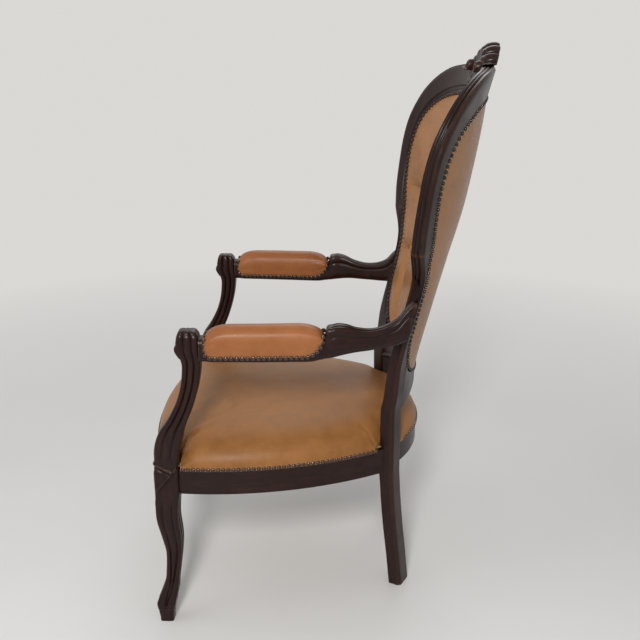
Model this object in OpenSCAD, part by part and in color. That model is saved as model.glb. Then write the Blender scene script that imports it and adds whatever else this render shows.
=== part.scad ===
// Carved balloon-back armchair with a show-wood frame, a buttoned leather back,
// a crowned leather seat and padded arms. Millimetres, +Z up. The chair faces -Y
// and stands with the centre of its footprint at the origin.

/* [Overall] */
// Height from the floor to the top of the crest
chair_h = 1140; // [1080:1:1200]
// Width across the widest part of the back frame
back_w = 528; // [500:1:560]
// Distance between the centre lines of the two arm fronts
arm_span = 570; // [560:1:590]

/* [Seat frame] */
// Width across the outside of the seat rails
seat_w = 576; // [566:1:590]
// Distance from the origin to the front of the front rail
seat_front = 345; // [340:1:362]
// Distance from the origin to the back of the rear rail
seat_back = 223; // [215:1:232]
// Height of the underside of the seat rails
rail_z = 292; // [284:1:298]
// Height of the show-wood part of the seat rails
rail_h = 54; // [46:1:58]
// Thickness of the seat rails
rail_t = 26; // [20:1:30]
// Height of the rear seat rail
rear_rail_h = 46; // [40:1:50]
// Radius of the bow of the front rail
front_bow_r = 730; // [600:10:900]
// Radius of the bow of each side rail
side_bow_r = 700; // [660:10:760]
// Thickness of the corner blocks
block_t = 24; // [18:1:30]

/* [Front legs] */
// Side of the square block at the top of each front leg
leg_s = 48; // [44:1:52]
// Thickness of the front leg at the ankle
ankle_s = 29; // [26:1:34]
// Width of the toe of each front foot
toe_s = 38; // [34:1:42]
// How far the toe is swept out along the diagonal
toe_sweep = 15; // [8:1:20]

/* [Rear legs] */
// Width of the rear leg across its back face
stile_w = 42; // [38:1:46]
// Thickness of the rear leg
stile_t = 29; // [26:1:32]
// Angle by which the rear leg is turned outwards
stile_turn = 28; // [24:1:32]
// How far the foot of the rear leg is raked back
rear_rake = 28; // [18:1:36]
// How far the foot of the rear leg is drawn in
rear_tuck = 26; // [16:1:32]

/* [Back frame] */
// Thickness of the back frame
frame_t = 26; // [22:1:28]
// Depth of the mouldings on the back frame
mould_d = 2.4; // [1:0.1:3.5]
// Height of the joint between the rear stiles and the top rail
joint_z = 770; // [760:1:790]
// Height of the lower edge of the bottom rail of the back at its middle
bottom_rail_z = 415; // [408:1:424]

/* [Arms] */
// Height of the underside of the arms
arm_z = 576; // [560:1:590]
// Width of the arm under the pad
arm_w = 38; // [34:1:44]
// Length of the arm pad
pad_l = 222; // [190:1:226]
// Width of the arm pad
pad_w = 54; // [48:1:60]
// Height of the arm pad above its nail line
pad_h = 62; // [50:1:68]

/* [Upholstery] */
// Thickness of the leather
leather_t = 2.5; // [1.5:0.1:3.5]
// Rise of the seat crown above the seat rails
seat_crown = 70; // [54:1:80]
// Rise of the front back cushion in front of the frame
back_crown = 15; // [10:1:22]
// Rise of the rear back panel behind the frame
rear_crown = 10; // [4:1:14]
// Depth of the buttoned tufts
tuft_d = 12; // [6:1:14]
// Width of the webbing
web_w = 50; // [40:1:60]
// Thickness of the webbing
web_t = 1.6; // [1:0.1:2.5]

/* [Trim and fastenings] */
// Diameter of the head of a decorative nail
nail_d = 9; // [7:0.5:10]
// Spacing of the decorative nails
nail_pitch = 9.8; // [9.8:0.1:14]
// Diameter of a covered button
button_d = 16; // [12:1:20]
// Diameter of the dowels of the frame
dowel_d = 8; // [6:1:9]
// Length of the dowels of the frame
dowel_l = 28; // [22:1:32]
// Free play of a dowel in its hole
dowel_play = 0.2; // [0.1:0.05:0.4]
// Clear gap left around soft parts
gap = 0.3; // [0.2:0.05:0.5]
// Gap left where a flat piece seats on a curved one
seat_gap = 0.8; // [0.6:0.05:0.9]

/* [Hidden] */

wood = [0.20, 0.09, 0.07];
pale_wood = [0.62, 0.47, 0.30];
leather = [0.72, 0.42, 0.19];
brass = [0.42, 0.33, 0.20];
steel = [0.60, 0.60, 0.60];
jute = [0.72, 0.60, 0.40];
linen = [0.80, 0.76, 0.66];

// Vector helpers
function unit(v) = v / norm(v);
function flat(l) = [for (a = l) for (b = a) b];
function flip(p) = [-p.x, p.y, p.z];
function mix(a, b, t) = a + (b - a) * t;

// Smooth curve through hand-placed points
function cr(a, b, c, d, t) =
    0.5 * (2 * b + (c - a) * t + (2 * a - 5 * b + 4 * c - d) * t * t
    + (3 * b - a - 3 * c + d) * t * t * t);
function curve(p, n) = let (m = len(p) - 1) concat(
    [for (i = [0 : m - 1]) for (k = [0 : n - 1])
        cr(i > 0 ? p[i - 1] : 2 * p[0] - p[1], p[i], p[i + 1],
            i + 2 <= m ? p[i + 2] : 2 * p[m] - p[m - 1], k / n)],
    [p[m]]);

// Solid from rings of equal length, closed with a fan at each end
function ring_faces(m, n) = concat(
    flat([for (i = [0 : m - 2]) for (j = [0 : n - 1]) let (k = (j + 1) % n)
        [[i * n + j, (i + 1) * n + j, (i + 1) * n + k],
            [i * n + j, (i + 1) * n + k, i * n + k]]]),
    [for (j = [0 : n - 1]) [m * n, j, (j + 1) % n]],
    [for (j = [0 : n - 1]) [m * n + 1, (m - 1) * n + (j + 1) % n, (m - 1) * n + j]]);
function middle(r) = [for (p = r) 1] * r / len(r);
module loft(rings) {
    n = len(rings[0]);
    m = len(rings);
    polyhedron(concat(flat(rings), [middle(rings[0]), middle(rings[m - 1])]),
        ring_faces(m, n), convexity = 8);
}

// Solid between two sheets of points that share their number of rows; the first and
// last row of each sheet are single points
function sheet_index(i, j, n) = 1 + (i - 1) * n + j;
function sheet_size(m, n) = 2 + (m - 2) * n;
function sheet_faces(m, n, o, back) = [for (f = concat(
    [for (j = [0 : n - 2]) [0, sheet_index(1, j, n), sheet_index(1, j + 1, n)]],
    flat([for (i = [1 : m - 3]) for (j = [0 : n - 2])
        [[sheet_index(i, j, n), sheet_index(i + 1, j, n), sheet_index(i + 1, j + 1, n)],
            [sheet_index(i, j, n), sheet_index(i + 1, j + 1, n), sheet_index(i, j + 1, n)]]]),
    [for (j = [0 : n - 2]) [sheet_size(m, n) - 1, sheet_index(m - 2, j + 1, n),
        sheet_index(m - 2, j, n)]]))
    back ? [o + f[0], o + f[2], o + f[1]] : [o + f[0], o + f[1], o + f[2]]];
function edge_chain(m, n, o, last) = concat([o],
    [for (i = [1 : m - 2]) o + sheet_index(i, last ? n - 1 : 0, n)],
    [o + sheet_size(m, n) - 1]);
function strip(a, b) = flat([for (i = [0 : len(a) - 2])
    [[a[i], b[i], b[i + 1]], [a[i], b[i + 1], a[i + 1]]]]);
module cushion(front, rear, m, nf, nr) {
    o = sheet_size(m, nf);
    polyhedron(concat(front, rear), concat(
        sheet_faces(m, nf, 0, true), sheet_faces(m, nr, o, false),
        strip(edge_chain(m, nr, o, false), edge_chain(m, nf, 0, false)),
        strip(edge_chain(m, nf, 0, true), edge_chain(m, nr, o, true))), convexity = 8);
}

// Rounded square ring of sides sx and sy with corner radius r, sixteen points
function square_ring(x, y, z, sx, sy, r) = [for (q = [0 : 3]) for (k = [0 : 3])
    let (a = q * 90 + k * 30, cx = (q == 0 || q == 3) ? 1 : -1, cy = q < 2 ? 1 : -1)
    [x + cx * (sx / 2 - r) + r * cos(a), y + cy * (sy / 2 - r) + r * sin(a), z]];

// Seat plan: the meeting of four large circles
rail_top = rail_z + rail_h;
side_cx = seat_w / 2 - side_bow_r;
side_cy = -214;
stile_y = 134;
function side_x(y) = side_cx + sqrt(side_bow_r * side_bow_r - (y - side_cy) * (y - side_cy));
function front_y(x) = front_bow_r - seat_front - sqrt(front_bow_r * front_bow_r - x * x);
// The rear circle runs through both rear corners and the back of the rear rail
rear_corner_y = stile_y + 19;
rear_bulge = seat_back - rear_corner_y;
rear_bow_r = (pow(side_x(rear_corner_y), 2) + rear_bulge * rear_bulge) / (2 * rear_bulge);
rear_cy = seat_back - rear_bow_r;
module seat_plan(inset = 0) {
    intersection() {
        translate([0, front_bow_r - seat_front]) circle(front_bow_r - inset, $fn = 180);
        translate([side_cx, side_cy]) circle(side_bow_r - inset, $fn = 180);
        translate([-side_cx, side_cy]) circle(side_bow_r - inset, $fn = 180);
        union() {
            translate([0, rear_cy]) circle(rear_bow_r - inset, $fn = 180);
            translate([-seat_w, rear_cy - 2 * seat_front]) square([2 * seat_w, 2 * seat_front]);
        }
    }
}

// Front legs stand just inside the corners of the seat plan
leg_x = side_x(-291) - 11;
leg_y = front_y(leg_x) + 3;
leg_rows = [[0, 1, 0.74, 5], [8, 1, 0.75, 5], [27, 1, 0.87, 5], [42, 0.96, 1.02, 6],
    [52, 0.8, 0.98, 6], [69, 0.45, 0.9, 7]];

// Rear stiles stand where the side rails end
stile_x = side_x(stile_y) - 11;
stile_in = [-cos(stile_turn), sin(stile_turn), 0];
stile_back = [sin(stile_turn), cos(stile_turn), 0];

// Back frame: its front face is hollow in plan and leans back with height
back_low = 520;
back_sx = back_w / 528;
back_sz = (chair_h - 39 - back_low) / (1101 - back_low);
function bz(z) = z < back_low ? z : back_low + (z - back_low) * back_sz;
lean = [for (p = curve([[380, 190], [460, 190], [520, 194], [620, 214], [720, 239], [820, 266],
    [920, 286], [1000, 302], [1050, 312.5], [1085, 321.5], [1150, 340], [1200, 356]], 4))
    [bz(p[0]), p[1]]];
bow = [for (p = curve([[380, 1.45], [520, 1.42], [570, 1.38], [620, 1.28], [700, 1.24],
    [760, 1.32], [940, 1.32], [1030, 1.17], [1090, 1.1], [1200, 1.1]], 4))
    [bz(p[0]), p[1] / 1000 / back_sx]];
function hollow(x, z) = atan(2 * lookup(z, bow) * x);
function back_pt(x, z, d = 0) = let (a = hollow(x, z))
    [x + d * sin(a), lookup(z, lean) - lookup(z, bow) * x * x + d * cos(a), z];

// Outer and inner edge of the frame from the middle of the top to the waist
arch_rows = [[0, 1101, 0, 1042], [70, 1100, 60, 1041], [130, 1096, 115, 1037],
    [180, 1087, 160, 1027], [222, 1065, 196, 1008], [250, 1032, 219, 980],
    [262, 990, 230, 940], [264, 940, 231, 890], [260, 880, 225, 848], [252, 820, 214, 806],
    [236, 770, 200, 770]];
// Height, outer edge and inner edge of the stiles below the waist
waist_rows = [[770, 236, 200], [752, 224, 196], [735, 212, 192], [715, 203, 187],
    [690, 197, 182], [650, 192, 176.5], [610, 190, 171.5], [575, 187, 160], [545, 186, 150],
    [520, 186, 148]];
// Edge of the upholstered opening from the middle of the top to the middle of the bottom
opening_rows = [[0, 1042], [60, 1041], [115, 1037], [160, 1027], [196, 1008], [219, 980],
    [230, 940], [231, 885], [220, 825], [200, 770], [185, 715], [176, 660], [170, 610],
    [156, 566], [126, 528], [70, 504], [0, 498]];
joint_shift = joint_z - 770;
arch_curve = [for (r = curve(arch_rows, 2)) let (k = r[1] < 890 ? (890 - r[1]) / 120 : 0)
    [r[0] * back_sx, bz(r[1] + joint_shift * k), r[2] * back_sx, bz(r[3] + joint_shift * k)]];
opening = [for (r = curve(opening_rows, 2)) [r[0] * back_sx, bz(r[1])]];

// Frame section across width w and thickness t, with beads at both edges of the front
// and a groove down the outer side; f fades the mouldings out
function section(w, t, f) = let (m = mould_d * f) [
    [0, 2.5], [2.5, 0], [6, 0], [9, m], [w * 0.55, m], [w - 9, m], [w - 6.5, 0], [w - 2.5, 0],
    [w, 2.5], [w, t - 1.5], [w - 1.5, t], [6, t], [0, t - 5], [0, t * 0.66],
    [m, t * 0.52], [0, t * 0.36]];
function station_ring(st) = [for (p = section(st[3], st[4], st[5]))
    st[0] + st[1] * p.x + st[2] * p.y];
function frame_station(xo, zo, xi, zi, t, f) = let (
    a = back_pt(xo, zo), b = back_pt(xi, zi), h = hollow((xo + xi) / 2, (zo + zi) / 2))
    [a, unit(b - a), [sin(h), cos(h), 0], norm(b - a), t, f];
arch_half = [for (r = arch_curve) frame_station(r[0], r[1], r[2], r[3], frame_t, 1)];
arch_rings = [for (s = arch_half) station_ring(s)];
top_rail_rings = concat(
    [for (i = [len(arch_rings) - 1 : -1 : 1]) [for (p = arch_rings[i]) flip(p)]], arch_rings);

// Stile stations from the floor to the joint with the top rail
function leg_station(z, dx, dy) = [[stile_x + dx, stile_y + dy, z], stile_in, stile_back,
    stile_w, stile_t, 0];
stile_low = [leg_station(0, -rear_tuck, rear_rake), leg_station(rail_z * 0.5,
    -rear_tuck * 0.45, rear_rake * 0.42), leg_station(rail_z - 6, 0, 0),
    leg_station(rail_top + 10, 0, 0), leg_station(430, 1, -1)];
function waist_z(z) = z > 700 ? bz(z + joint_shift * (z - 700) / 70) : bz(z);
stile_high = [for (i = [len(waist_rows) - 1 : -1 : 0]) let (r = waist_rows[i])
    frame_station(r[1] * back_sx, waist_z(r[0]), r[2] * back_sx, waist_z(r[0]),
        frame_t, min(1, (r[0] - 520) / 60))];
stile_mid = [[mix(stile_low[4][0], stile_high[0][0], 0.35) + [0, 2, 0], stile_in, stile_back,
    mix(stile_w, stile_high[0][3], 0.4), mix(stile_t, frame_t, 0.5), 0]];
stile_stations = concat(stile_low, stile_mid, stile_high);
stile_rings = [for (i = [len(stile_stations) - 1 : -1 : 0]) station_ring(stile_stations[i])];

// Bottom rail of the back: height of its lower edge and of the opening above it
function low_edge(x) = bottom_rail_z + 30 * pow(abs(x) / 150, 2);
function opening_z(x) = lookup(abs(x), [for (i = [len(opening) - 1 : -1 : len(opening) - 9])
    opening[i]]);

// Arms: distance along Y, half span at that place, underside, top and width
arm_half = arm_span / 2;
arm_front_y = -212;
pad_front_y = arm_front_y + 10;
pad_back_y = pad_front_y + pad_l;
nail_line = arm_z + 13;
arm_rows = [[arm_front_y, 0, 2, 22, 1.05, 0], [-100, -4, 1, 22, 1.1, 0],
    [0, -11, 0, 22, 1.08, 0], [22, -14, 3, 22, 1, 0], [26, -15, 4, 44, 0.95, 0],
    [38, -16, 6, 60, 0.95, 0], [49, -19, 8, 66, 0.95, 0], [64, -23, 10, 64, 0.9, 0],
    [82, -29, 11, 57, 0.84, 0], [107, -38, 11, 52, 0.8, 0], [128, -47, 12, 53, 0.8, 0],
    [147, -56, 13, 58, 0.82, 0], [158, -61, 14, 66, 0.84, 0.08], [164, -65, 15, 80, 0.84, 0.16],
    [170, -70, 16, 96, 0.84, 0.25]];

// Arm supports: height, Y, offset from the arm line, depth and width
support_rows = [[0, -287, -9, 46, 42], [20, -286, -6, 48, 40], [40, -285, -3, 50, 39],
    [62, -280, 0, 51, 38], [84, -273, 2, 48, 37], [104, -263, 3, 41, 36],
    [124, -253, 3, 38, 35], [146, -244, 3, 35, 34], [168, -237, 2, 34, 34],
    [190, -232, 1, 34, 34], [212, -229, 0, 35, 34], [230, -228, 0, 36, 35],
    [243, -230, 0, 40, 37], [257, -233, 0, 43, 38], [270, -233, 0, 43, 38],
    [283, -233, 0, 41, 36], [291, -234, -1, 34, 30]];
support_z = rail_top + 4;
support_top = arm_z + 66;
support_k = (support_top - support_z) / 291;

// Seat upholstery levels
web_z = rail_top;
hessian_z = web_z + 2 * web_t;
stuffing_z = hessian_z + 1 + gap;
seat_mid = [0, -70];
seat_steps = 52;
seat_rings = [0, 0.3, 0.55, 0.74, 0.86, 0.93, 0.97, 0.99, 1];
function ray_circle(a, cx, cy, r) = let (dx = seat_mid.x - cx, dy = seat_mid.y - cy,
    b = dx * cos(a) + dy * sin(a)) -b + sqrt(b * b - dx * dx - dy * dy + r * r);
function seat_r(a) = min(ray_circle(a, 0, front_bow_r - seat_front, front_bow_r),
    ray_circle(a, side_cx, side_cy, side_bow_r), ray_circle(a, -side_cx, side_cy, side_bow_r),
    sin(a) > 0 ? ray_circle(a, 0, rear_cy, rear_bow_r) : 2000);
function dome(r) = 0.34 * (1 - r * r) + 0.66 * pow(1 - pow(r, 10), 0.6);
function seat_grid(base, rise, inset, list) = [for (r = list) [for (k = [0 : seat_steps - 1])
    let (a = k * 360 / seat_steps, q = (seat_r(a) - inset) * r)
    [seat_mid.x + q * cos(a), seat_mid.y + q * sin(a), base + rise * dome(r)]]];

// Back upholstery
button_rows = [[70, 896], [140, 828], [0, 828], [70, 760], [125, 692], [0, 692]];
buttons = [for (b = button_rows) for (s = b[0] == 0 ? [1] : [1, -1])
    [s * b[0] * back_sx, bz(b[1])]];
pleat_links = [[0, 1], [0, 2], [1, 3], [2, 3], [3, 4], [3, 5]];
pleat_ends = [[0, 78, 1034], [1, 218, 826], [4, 178, 688], [4, 104, 530], [5, 0, 500]];
pleats = [for (s = [1, -1]) for (p = concat(
    [for (l = pleat_links) [button_rows[l[0]], button_rows[l[1]]]],
    [for (e = pleat_ends) [button_rows[e[0]], [e[1], e[2]]]]))
    [[s * p[0][0] * back_sx, bz(p[0][1])], [s * p[1][0] * back_sx, bz(p[1][1])]]];
function seg_dist(p, a, b) = let (d = b - a, t = max(0, min(1, ((p - a) * d) / (d * d))))
    norm(p - a - d * t);
function tuft(p) = let (b = min([for (c = buttons) norm(p - c)]),
    s = min([for (l = pleats) seg_dist(p, l[0], l[1])]))
    tuft_d * max(exp(-b * b / 500), 0.62 * exp(-s * s / 160));
panel_rows = len(opening);
front_cols = 25;
rear_cols = 9;
function across(j, n) = sin(90 * (2 * j / (n - 1) - 1)) * 0.35 + (2 * j / (n - 1) - 1) * 0.65;
// Sheet over the opening; kind 0 is level at depth d, 1 is the buttoned front and 2 the rear
function panel_height(x, z, w, v, kind, d) =
    kind == 0 ? d
    : kind == 1 ? 1.5 - (1 - pow(abs(v), 4)) * (1 - pow(abs(w), 6)) * back_crown
        + min(1, (1 - pow(abs(v), 6)) * (1 - pow(abs(w), 8))) * tuft([x, z])
    : d + (1 - pow(abs(v), 2.6)) * (1 - pow(abs(w), 4)) * rear_crown;
panel_mid = (opening[0][1] + opening[panel_rows - 1][1]) / 2;
panel_half = (opening[0][1] - opening[panel_rows - 1][1]) / 2;
function panel_sheet(kind, d, n, inset) = concat(
    [back_pt(0, opening[0][1] - inset, panel_height(0, opening[0][1], 1, 0, kind, d))],
    flat([for (i = [1 : panel_rows - 2]) let (z = panel_mid + (opening[i][1] - panel_mid)
        * (1 - inset / panel_half), x = opening[i][0] - inset)
        [for (j = [0 : n - 1]) let (v = across(j, n), w = (z - panel_mid) / panel_half)
            back_pt(x * v, z, panel_height(x * v, z, w, v, kind, d))]]),
    [back_pt(0, opening[panel_rows - 1][1] + inset,
        panel_height(0, opening[panel_rows - 1][1], -1, 0, kind, d))]);

module on_side(i) {
    if (i == 0) children();
    else mirror([1, 0, 0]) children();
}

// Short peg along +Z, centred on its length
module dowel(play = 0) {
    cylinder(d = dowel_d + 2 * play, h = dowel_l + 2 * play, center = true, $fn = 32);
}

// Cut shapes of the stile and leg in plan, grown by c
module stile_block(c = 0) {
    translate([stile_x, stile_y]) rotate(-stile_turn)
        translate([-stile_w - c, -c]) square([stile_w + 2 * c, stile_t + 2 * c]);
}
module leg_block(c = 0) {
    translate([leg_x - leg_s / 2 - c, leg_y - leg_s / 2 - c])
        square([leg_s + 2 * c, leg_s + 2 * c]);
}
module both() {
    children();
    mirror([1, 0, 0]) children();
}

// Turns +Z to the direction v
module along(v) {
    rotate([0, acos(v.z / norm(v)), atan2(v.y, v.x)]) children();
}

// Places of the seat rail dowels on one side
rail_mid_r = side_bow_r - rail_t / 2;
side_end_y = stile_y + 4;
side_end_x = side_cx + sqrt(rail_mid_r * rail_mid_r - pow(side_end_y - side_cy, 2));
rear_end = [stile_x, stile_y] + [stile_in.x, stile_in.y] * stile_w
    + [stile_back.x, stile_back.y] * 10;
rear_rail_z = rail_top - rear_rail_h;
module front_rail_dowels(play = 0) {
    for (z = [rail_z + rail_h * 0.25, rail_z + rail_h * 0.75])
        translate([leg_x - leg_s / 2, front_y(leg_x - leg_s / 2) + rail_t * 0.54, z])
            rotate([0, 90, 0]) dowel(play);
}
module side_rail_dowels(play = 0) {
    for (z = [rail_z + rail_h * 0.2, rail_z + rail_h * 0.8]) {
        translate([side_x(leg_y + leg_s / 2) - rail_t / 2, leg_y + leg_s / 2, z])
            rotate([90, 0, 0]) dowel(play);
        translate([side_end_x, side_end_y, z])
            along([side_cy - side_end_y, side_end_x - side_cx, 0]) dowel(play);
    }
}
module rear_rail_dowels(play = 0) {
    for (z = [rear_rail_z + rear_rail_h * 0.2, rear_rail_z + rear_rail_h * 0.78])
        translate([rear_end.x, rear_end.y, z])
            along([rear_end.y - rear_cy, -rear_end.x, 0]) dowel(play);
}

// Screws that hold the corner blocks to the legs and stiles
screw_d = 4;
screw_l = 44;
screw_head = 3;
block_reach = 28;
front_face = [leg_x - leg_s / 2 - block_reach, leg_y + leg_s / 2 + block_reach];
rear_face = [stile_x, stile_y] + [stile_in.x, stile_in.y] * stile_w * 0.8
    - [stile_back.x, stile_back.y] * block_reach;
block_z = rail_z + rail_h * 0.5;
module screw() {
    cylinder(d = screw_d, h = screw_l, $fn = 24);
    translate([0, 0, -screw_head]) cylinder(d = 2 * screw_d, h = screw_head, $fn = 24);
}
module at_block_faces() {
    translate([front_face.x, front_face.y, block_z]) along([1, -1, 0]) children();
    translate([rear_face.x, rear_face.y, block_z]) along(stile_back) children();
}
module screw_holes() {
    at_block_faces() translate([0, 0, -screw_head])
        cylinder(d = screw_d + 2 * dowel_play, h = screw_l + screw_head + dowel_play, $fn = 24);
}

// Places of the dowels of the back and the arms
joint_row = arch_half[len(arch_half) - 1];
joint_depth = frame_t * 0.6;
joint_mid = joint_row[0] + joint_row[1] * joint_row[3] / 2 + joint_row[2] * joint_depth;
low_joint = stile_high[0][0] + stile_high[0][1] * stile_high[0][3]
    + stile_high[0][2] * frame_t / 2;
module top_rail_dowel(play = 0) {
    translate(joint_mid) dowel(play);
}
module bottom_rail_dowels(play = 0) {
    for (z = [-44, -16]) translate(low_joint + [0, 0.2 * z + 4, z])
        along(stile_high[0][1]) dowel(play);
}
arm_joint = [arm_half + arm_rows[0][1], arm_front_y, arm_z + 13];
arm_end_row = stile_high[3];
arm_end = mix(arm_end_row[0], stile_high[4][0], 0.28) + arm_end_row[2] * frame_t / 2;
arm_dowel_l = 18;
module support_dowel(play = 0) {
    translate([leg_x, leg_y, support_z]) dowel(play);
}
module arm_front_dowel(play = 0) {
    translate(arm_joint) rotate([90, 0, 0]) dowel(play);
}
module arm_rear_dowel(play = 0) {
    translate(arm_end) along(arm_end_row[1])
        cylinder(d = dowel_d + 2 * play, h = arm_dowel_l + 2 * play, center = true, $fn = 32);
}

// Shapes of the swept pieces, on the left
module front_leg_shape() {
    upper = [[0.31, 0.15, 0], [0.37, 0, 0.02], [0.45, -0.15, 0.1], [0.53, -0.25, 0.25],
        [0.61, -0.2, 0.5], [0.69, -0.05, 0.68], [0.81, 0.2, 0.84], [0.92, 0.15, 0.94]];
    loft(concat(
        [for (r = leg_rows) square_ring(leg_x + toe_sweep * r[1], leg_y - toe_sweep * r[1],
            r[0], toe_s * r[2], toe_s * r[2], r[3])],
        [for (r = upper) let (s = mix(ankle_s, leg_s, r[2]))
            square_ring(leg_x + toe_sweep * r[1], leg_y - toe_sweep * r[1], rail_z * r[0],
                s, s, 8)],
        [for (z = [rail_z - 3, support_z]) square_ring(leg_x, leg_y, z, leg_s, leg_s, 8)]));
}
module stile_shape() {
    loft(stile_rings);
}
support_rings = [for (r = support_rows) let (k = max(0, 1 - r[0] / 40))
    square_ring(mix(arm_half + r[2], leg_x, k), mix(r[1], leg_y, k),
        support_z + r[0] * support_k, mix(r[4], leg_s, k), mix(r[3], leg_s, k), 8)];
module support_shape() {
    loft(support_rings);
}
function arm_ring(r) = let (w = arm_w * r[4], h = r[3] - r[2], z0 = arm_z + r[2],
    x = arm_half + r[1], c = min(6, h / 3))
    [for (p = [[c, -w / 2], [h - c, -w / 2], [h - c * 0.3, -w / 2 + c * 0.7], [h, -w / 2 + 2 * c],
        [h, 0], [h - c * 0.4, w / 2 - c], [h - c * 1.2, w / 2], [c, w / 2], [0, w / 2 - c],
        [0, -w / 2 + c]]) [x + p[1], r[0] + r[5] * p[0], z0 + p[0]]];
module arm_shape() {
    loft([for (r = arm_rows) arm_ring(r)]);
}

// Only the stretches of these pieces that the arm and its pad meet
arm_stile_rings = 9;
arm_hand_rings = 8;
arm_pad_rings = 8;
module stile_at_arm() {
    loft([for (i = [1 : arm_stile_rings]) stile_rings[i]]);
}
module hand_at_arm() {
    loft([for (i = [len(support_rings) - arm_hand_rings : len(support_rings) - 1])
        support_rings[i]]);
}
module arm_under_pad() {
    loft([for (i = [0 : arm_pad_rings]) arm_ring(arm_rows[i])]);
}

module front_leg(i) {
    color(wood) on_side(i) difference() {
        front_leg_shape();
        front_rail_dowels(dowel_play);
        side_rail_dowels(dowel_play);
        support_dowel(dowel_play);
        screw_holes();
    }
}

module rear_stile(i) {
    color(wood) on_side(i) difference() {
        stile_shape();
        side_rail_dowels(dowel_play);
        rear_rail_dowels(dowel_play);
        top_rail_dowel(dowel_play);
        bottom_rail_dowels(dowel_play);
        arm_rear_dowel(dowel_play);
        screw_holes();
    }
}

// Ring of rail between the seat plan and the same plan set in
module rail_ring() {
    difference() {
        seat_plan();
        seat_plan(rail_t);
    }
}

module front_seat_rail() {
    color(wood) difference() {
        translate([0, 0, rail_z]) linear_extrude(rail_h) intersection() {
            rail_ring();
            translate([-leg_x + leg_s / 2, leg_y - seat_front])
                square([2 * leg_x - leg_s, seat_front + leg_s / 2]);
        }
        both() front_rail_dowels(dowel_play);
    }
}

module side_seat_rail(i) {
    color(wood) on_side(i) difference() {
        translate([0, 0, rail_z]) linear_extrude(rail_h) difference() {
            intersection() {
                seat_plan();
                translate([0, leg_y + leg_s / 2])
                    square([seat_w, stile_y + 15 - leg_y - leg_s / 2]);
            }
            translate([side_cx, side_cy]) circle(side_bow_r - rail_t, $fn = 180);
            stile_block();
        }
        side_rail_dowels(dowel_play);
    }
}

module rear_seat_rail() {
    color(wood) difference() {
        translate([0, 0, rear_rail_z]) linear_extrude(rear_rail_h) difference() {
            rail_ring();
            translate([-seat_w, -2 * seat_front]) square([2 * seat_w, 2 * seat_front + 40]);
            both() translate([stile_x, stile_y]) rotate(-stile_turn)
                translate([-stile_w, -seat_w]) square([seat_w, 2 * seat_w]);
        }
        both() rear_rail_dowels(dowel_play);
    }
}

// Blocks glued into the four inner corners of the seat frame, beyond a face at a given turn
module corner_plate(face, turn) {
    translate([0, 0, block_z - block_t / 2]) linear_extrude(block_t) difference() {
        intersection() {
            seat_plan(rail_t);
            translate(face) rotate(turn) translate([-seat_w, 0]) square([2 * seat_w, seat_w]);
        }
        leg_block();
        stile_block();
    }
}
module front_corner_blocks() {
    color(pale_wood) both() difference() {
        corner_plate(front_face, 225);
        screw_holes();
    }
}
module rear_corner_blocks() {
    color(pale_wood) both() difference() {
        corner_plate(rear_face, -stile_turn);
        screw_holes();
        rear_rail_dowels(dowel_play);
    }
}
module corner_block_screws() {
    color(steel) both() at_block_faces() screw();
}

module seat_rail_dowels() {
    color(pale_wood) both() {
        front_rail_dowels();
        side_rail_dowels();
        rear_rail_dowels();
    }
}

module back_top_rail() {
    color(wood) difference() {
        loft(top_rail_rings);
        both() top_rail_dowel(dowel_play);
    }
}

// Point of the bottom rail: k runs from -1 at one stile to 1 at the other, e is the row
function stile_edge(z, d) = [for (c = [0, 1]) lookup(z, [for (s = stile_stations)
    [s[0].z, (s[0] + s[1] * s[3] + s[2] * d)[c]]])];
function rail_pt(k, z, d) = let (e = stile_edge(z, d), x = e.x - 2 * seat_gap, q = back_pt(x, z, d),
    p = back_pt(x * abs(k), z, d), r = p + [0, (e.y - q.y) * pow(abs(k), 6), 0])
    [sign(k) * (r.x + (x - q.x) * pow(abs(k), 6)), r.y, z];
module back_bottom_rail() {
    color(wood) difference() {
        loft([for (k = [-1 : 2 / 26 : 1.001]) let (
            x = k * stile_edge(bz(480), 0).x, z0 = low_edge(x), z1 = opening_z(x))
            concat([for (p = [[z0, 3], [z0 - 3, frame_t / 2], [z0, frame_t - 3]])
                    rail_pt(k, p[0], p[1])],
                [for (e = [0 : 4]) rail_pt(k, mix(z0 + 8, z1 - 2, e / 4), frame_t)],
                [for (p = [[z1, frame_t - 2], [z1, 2], [z1 - 2.5, 0], [z1 - 6.5, 0]])
                    rail_pt(k, p[0], p[1])],
                [for (e = [4 : -1 : 0]) rail_pt(k, mix(z0 + 12, z1 - 9, e / 4), mould_d)],
                [rail_pt(k, z0 + 8, 0)])]);
        both() bottom_rail_dowels(dowel_play);
    }
}

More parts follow.
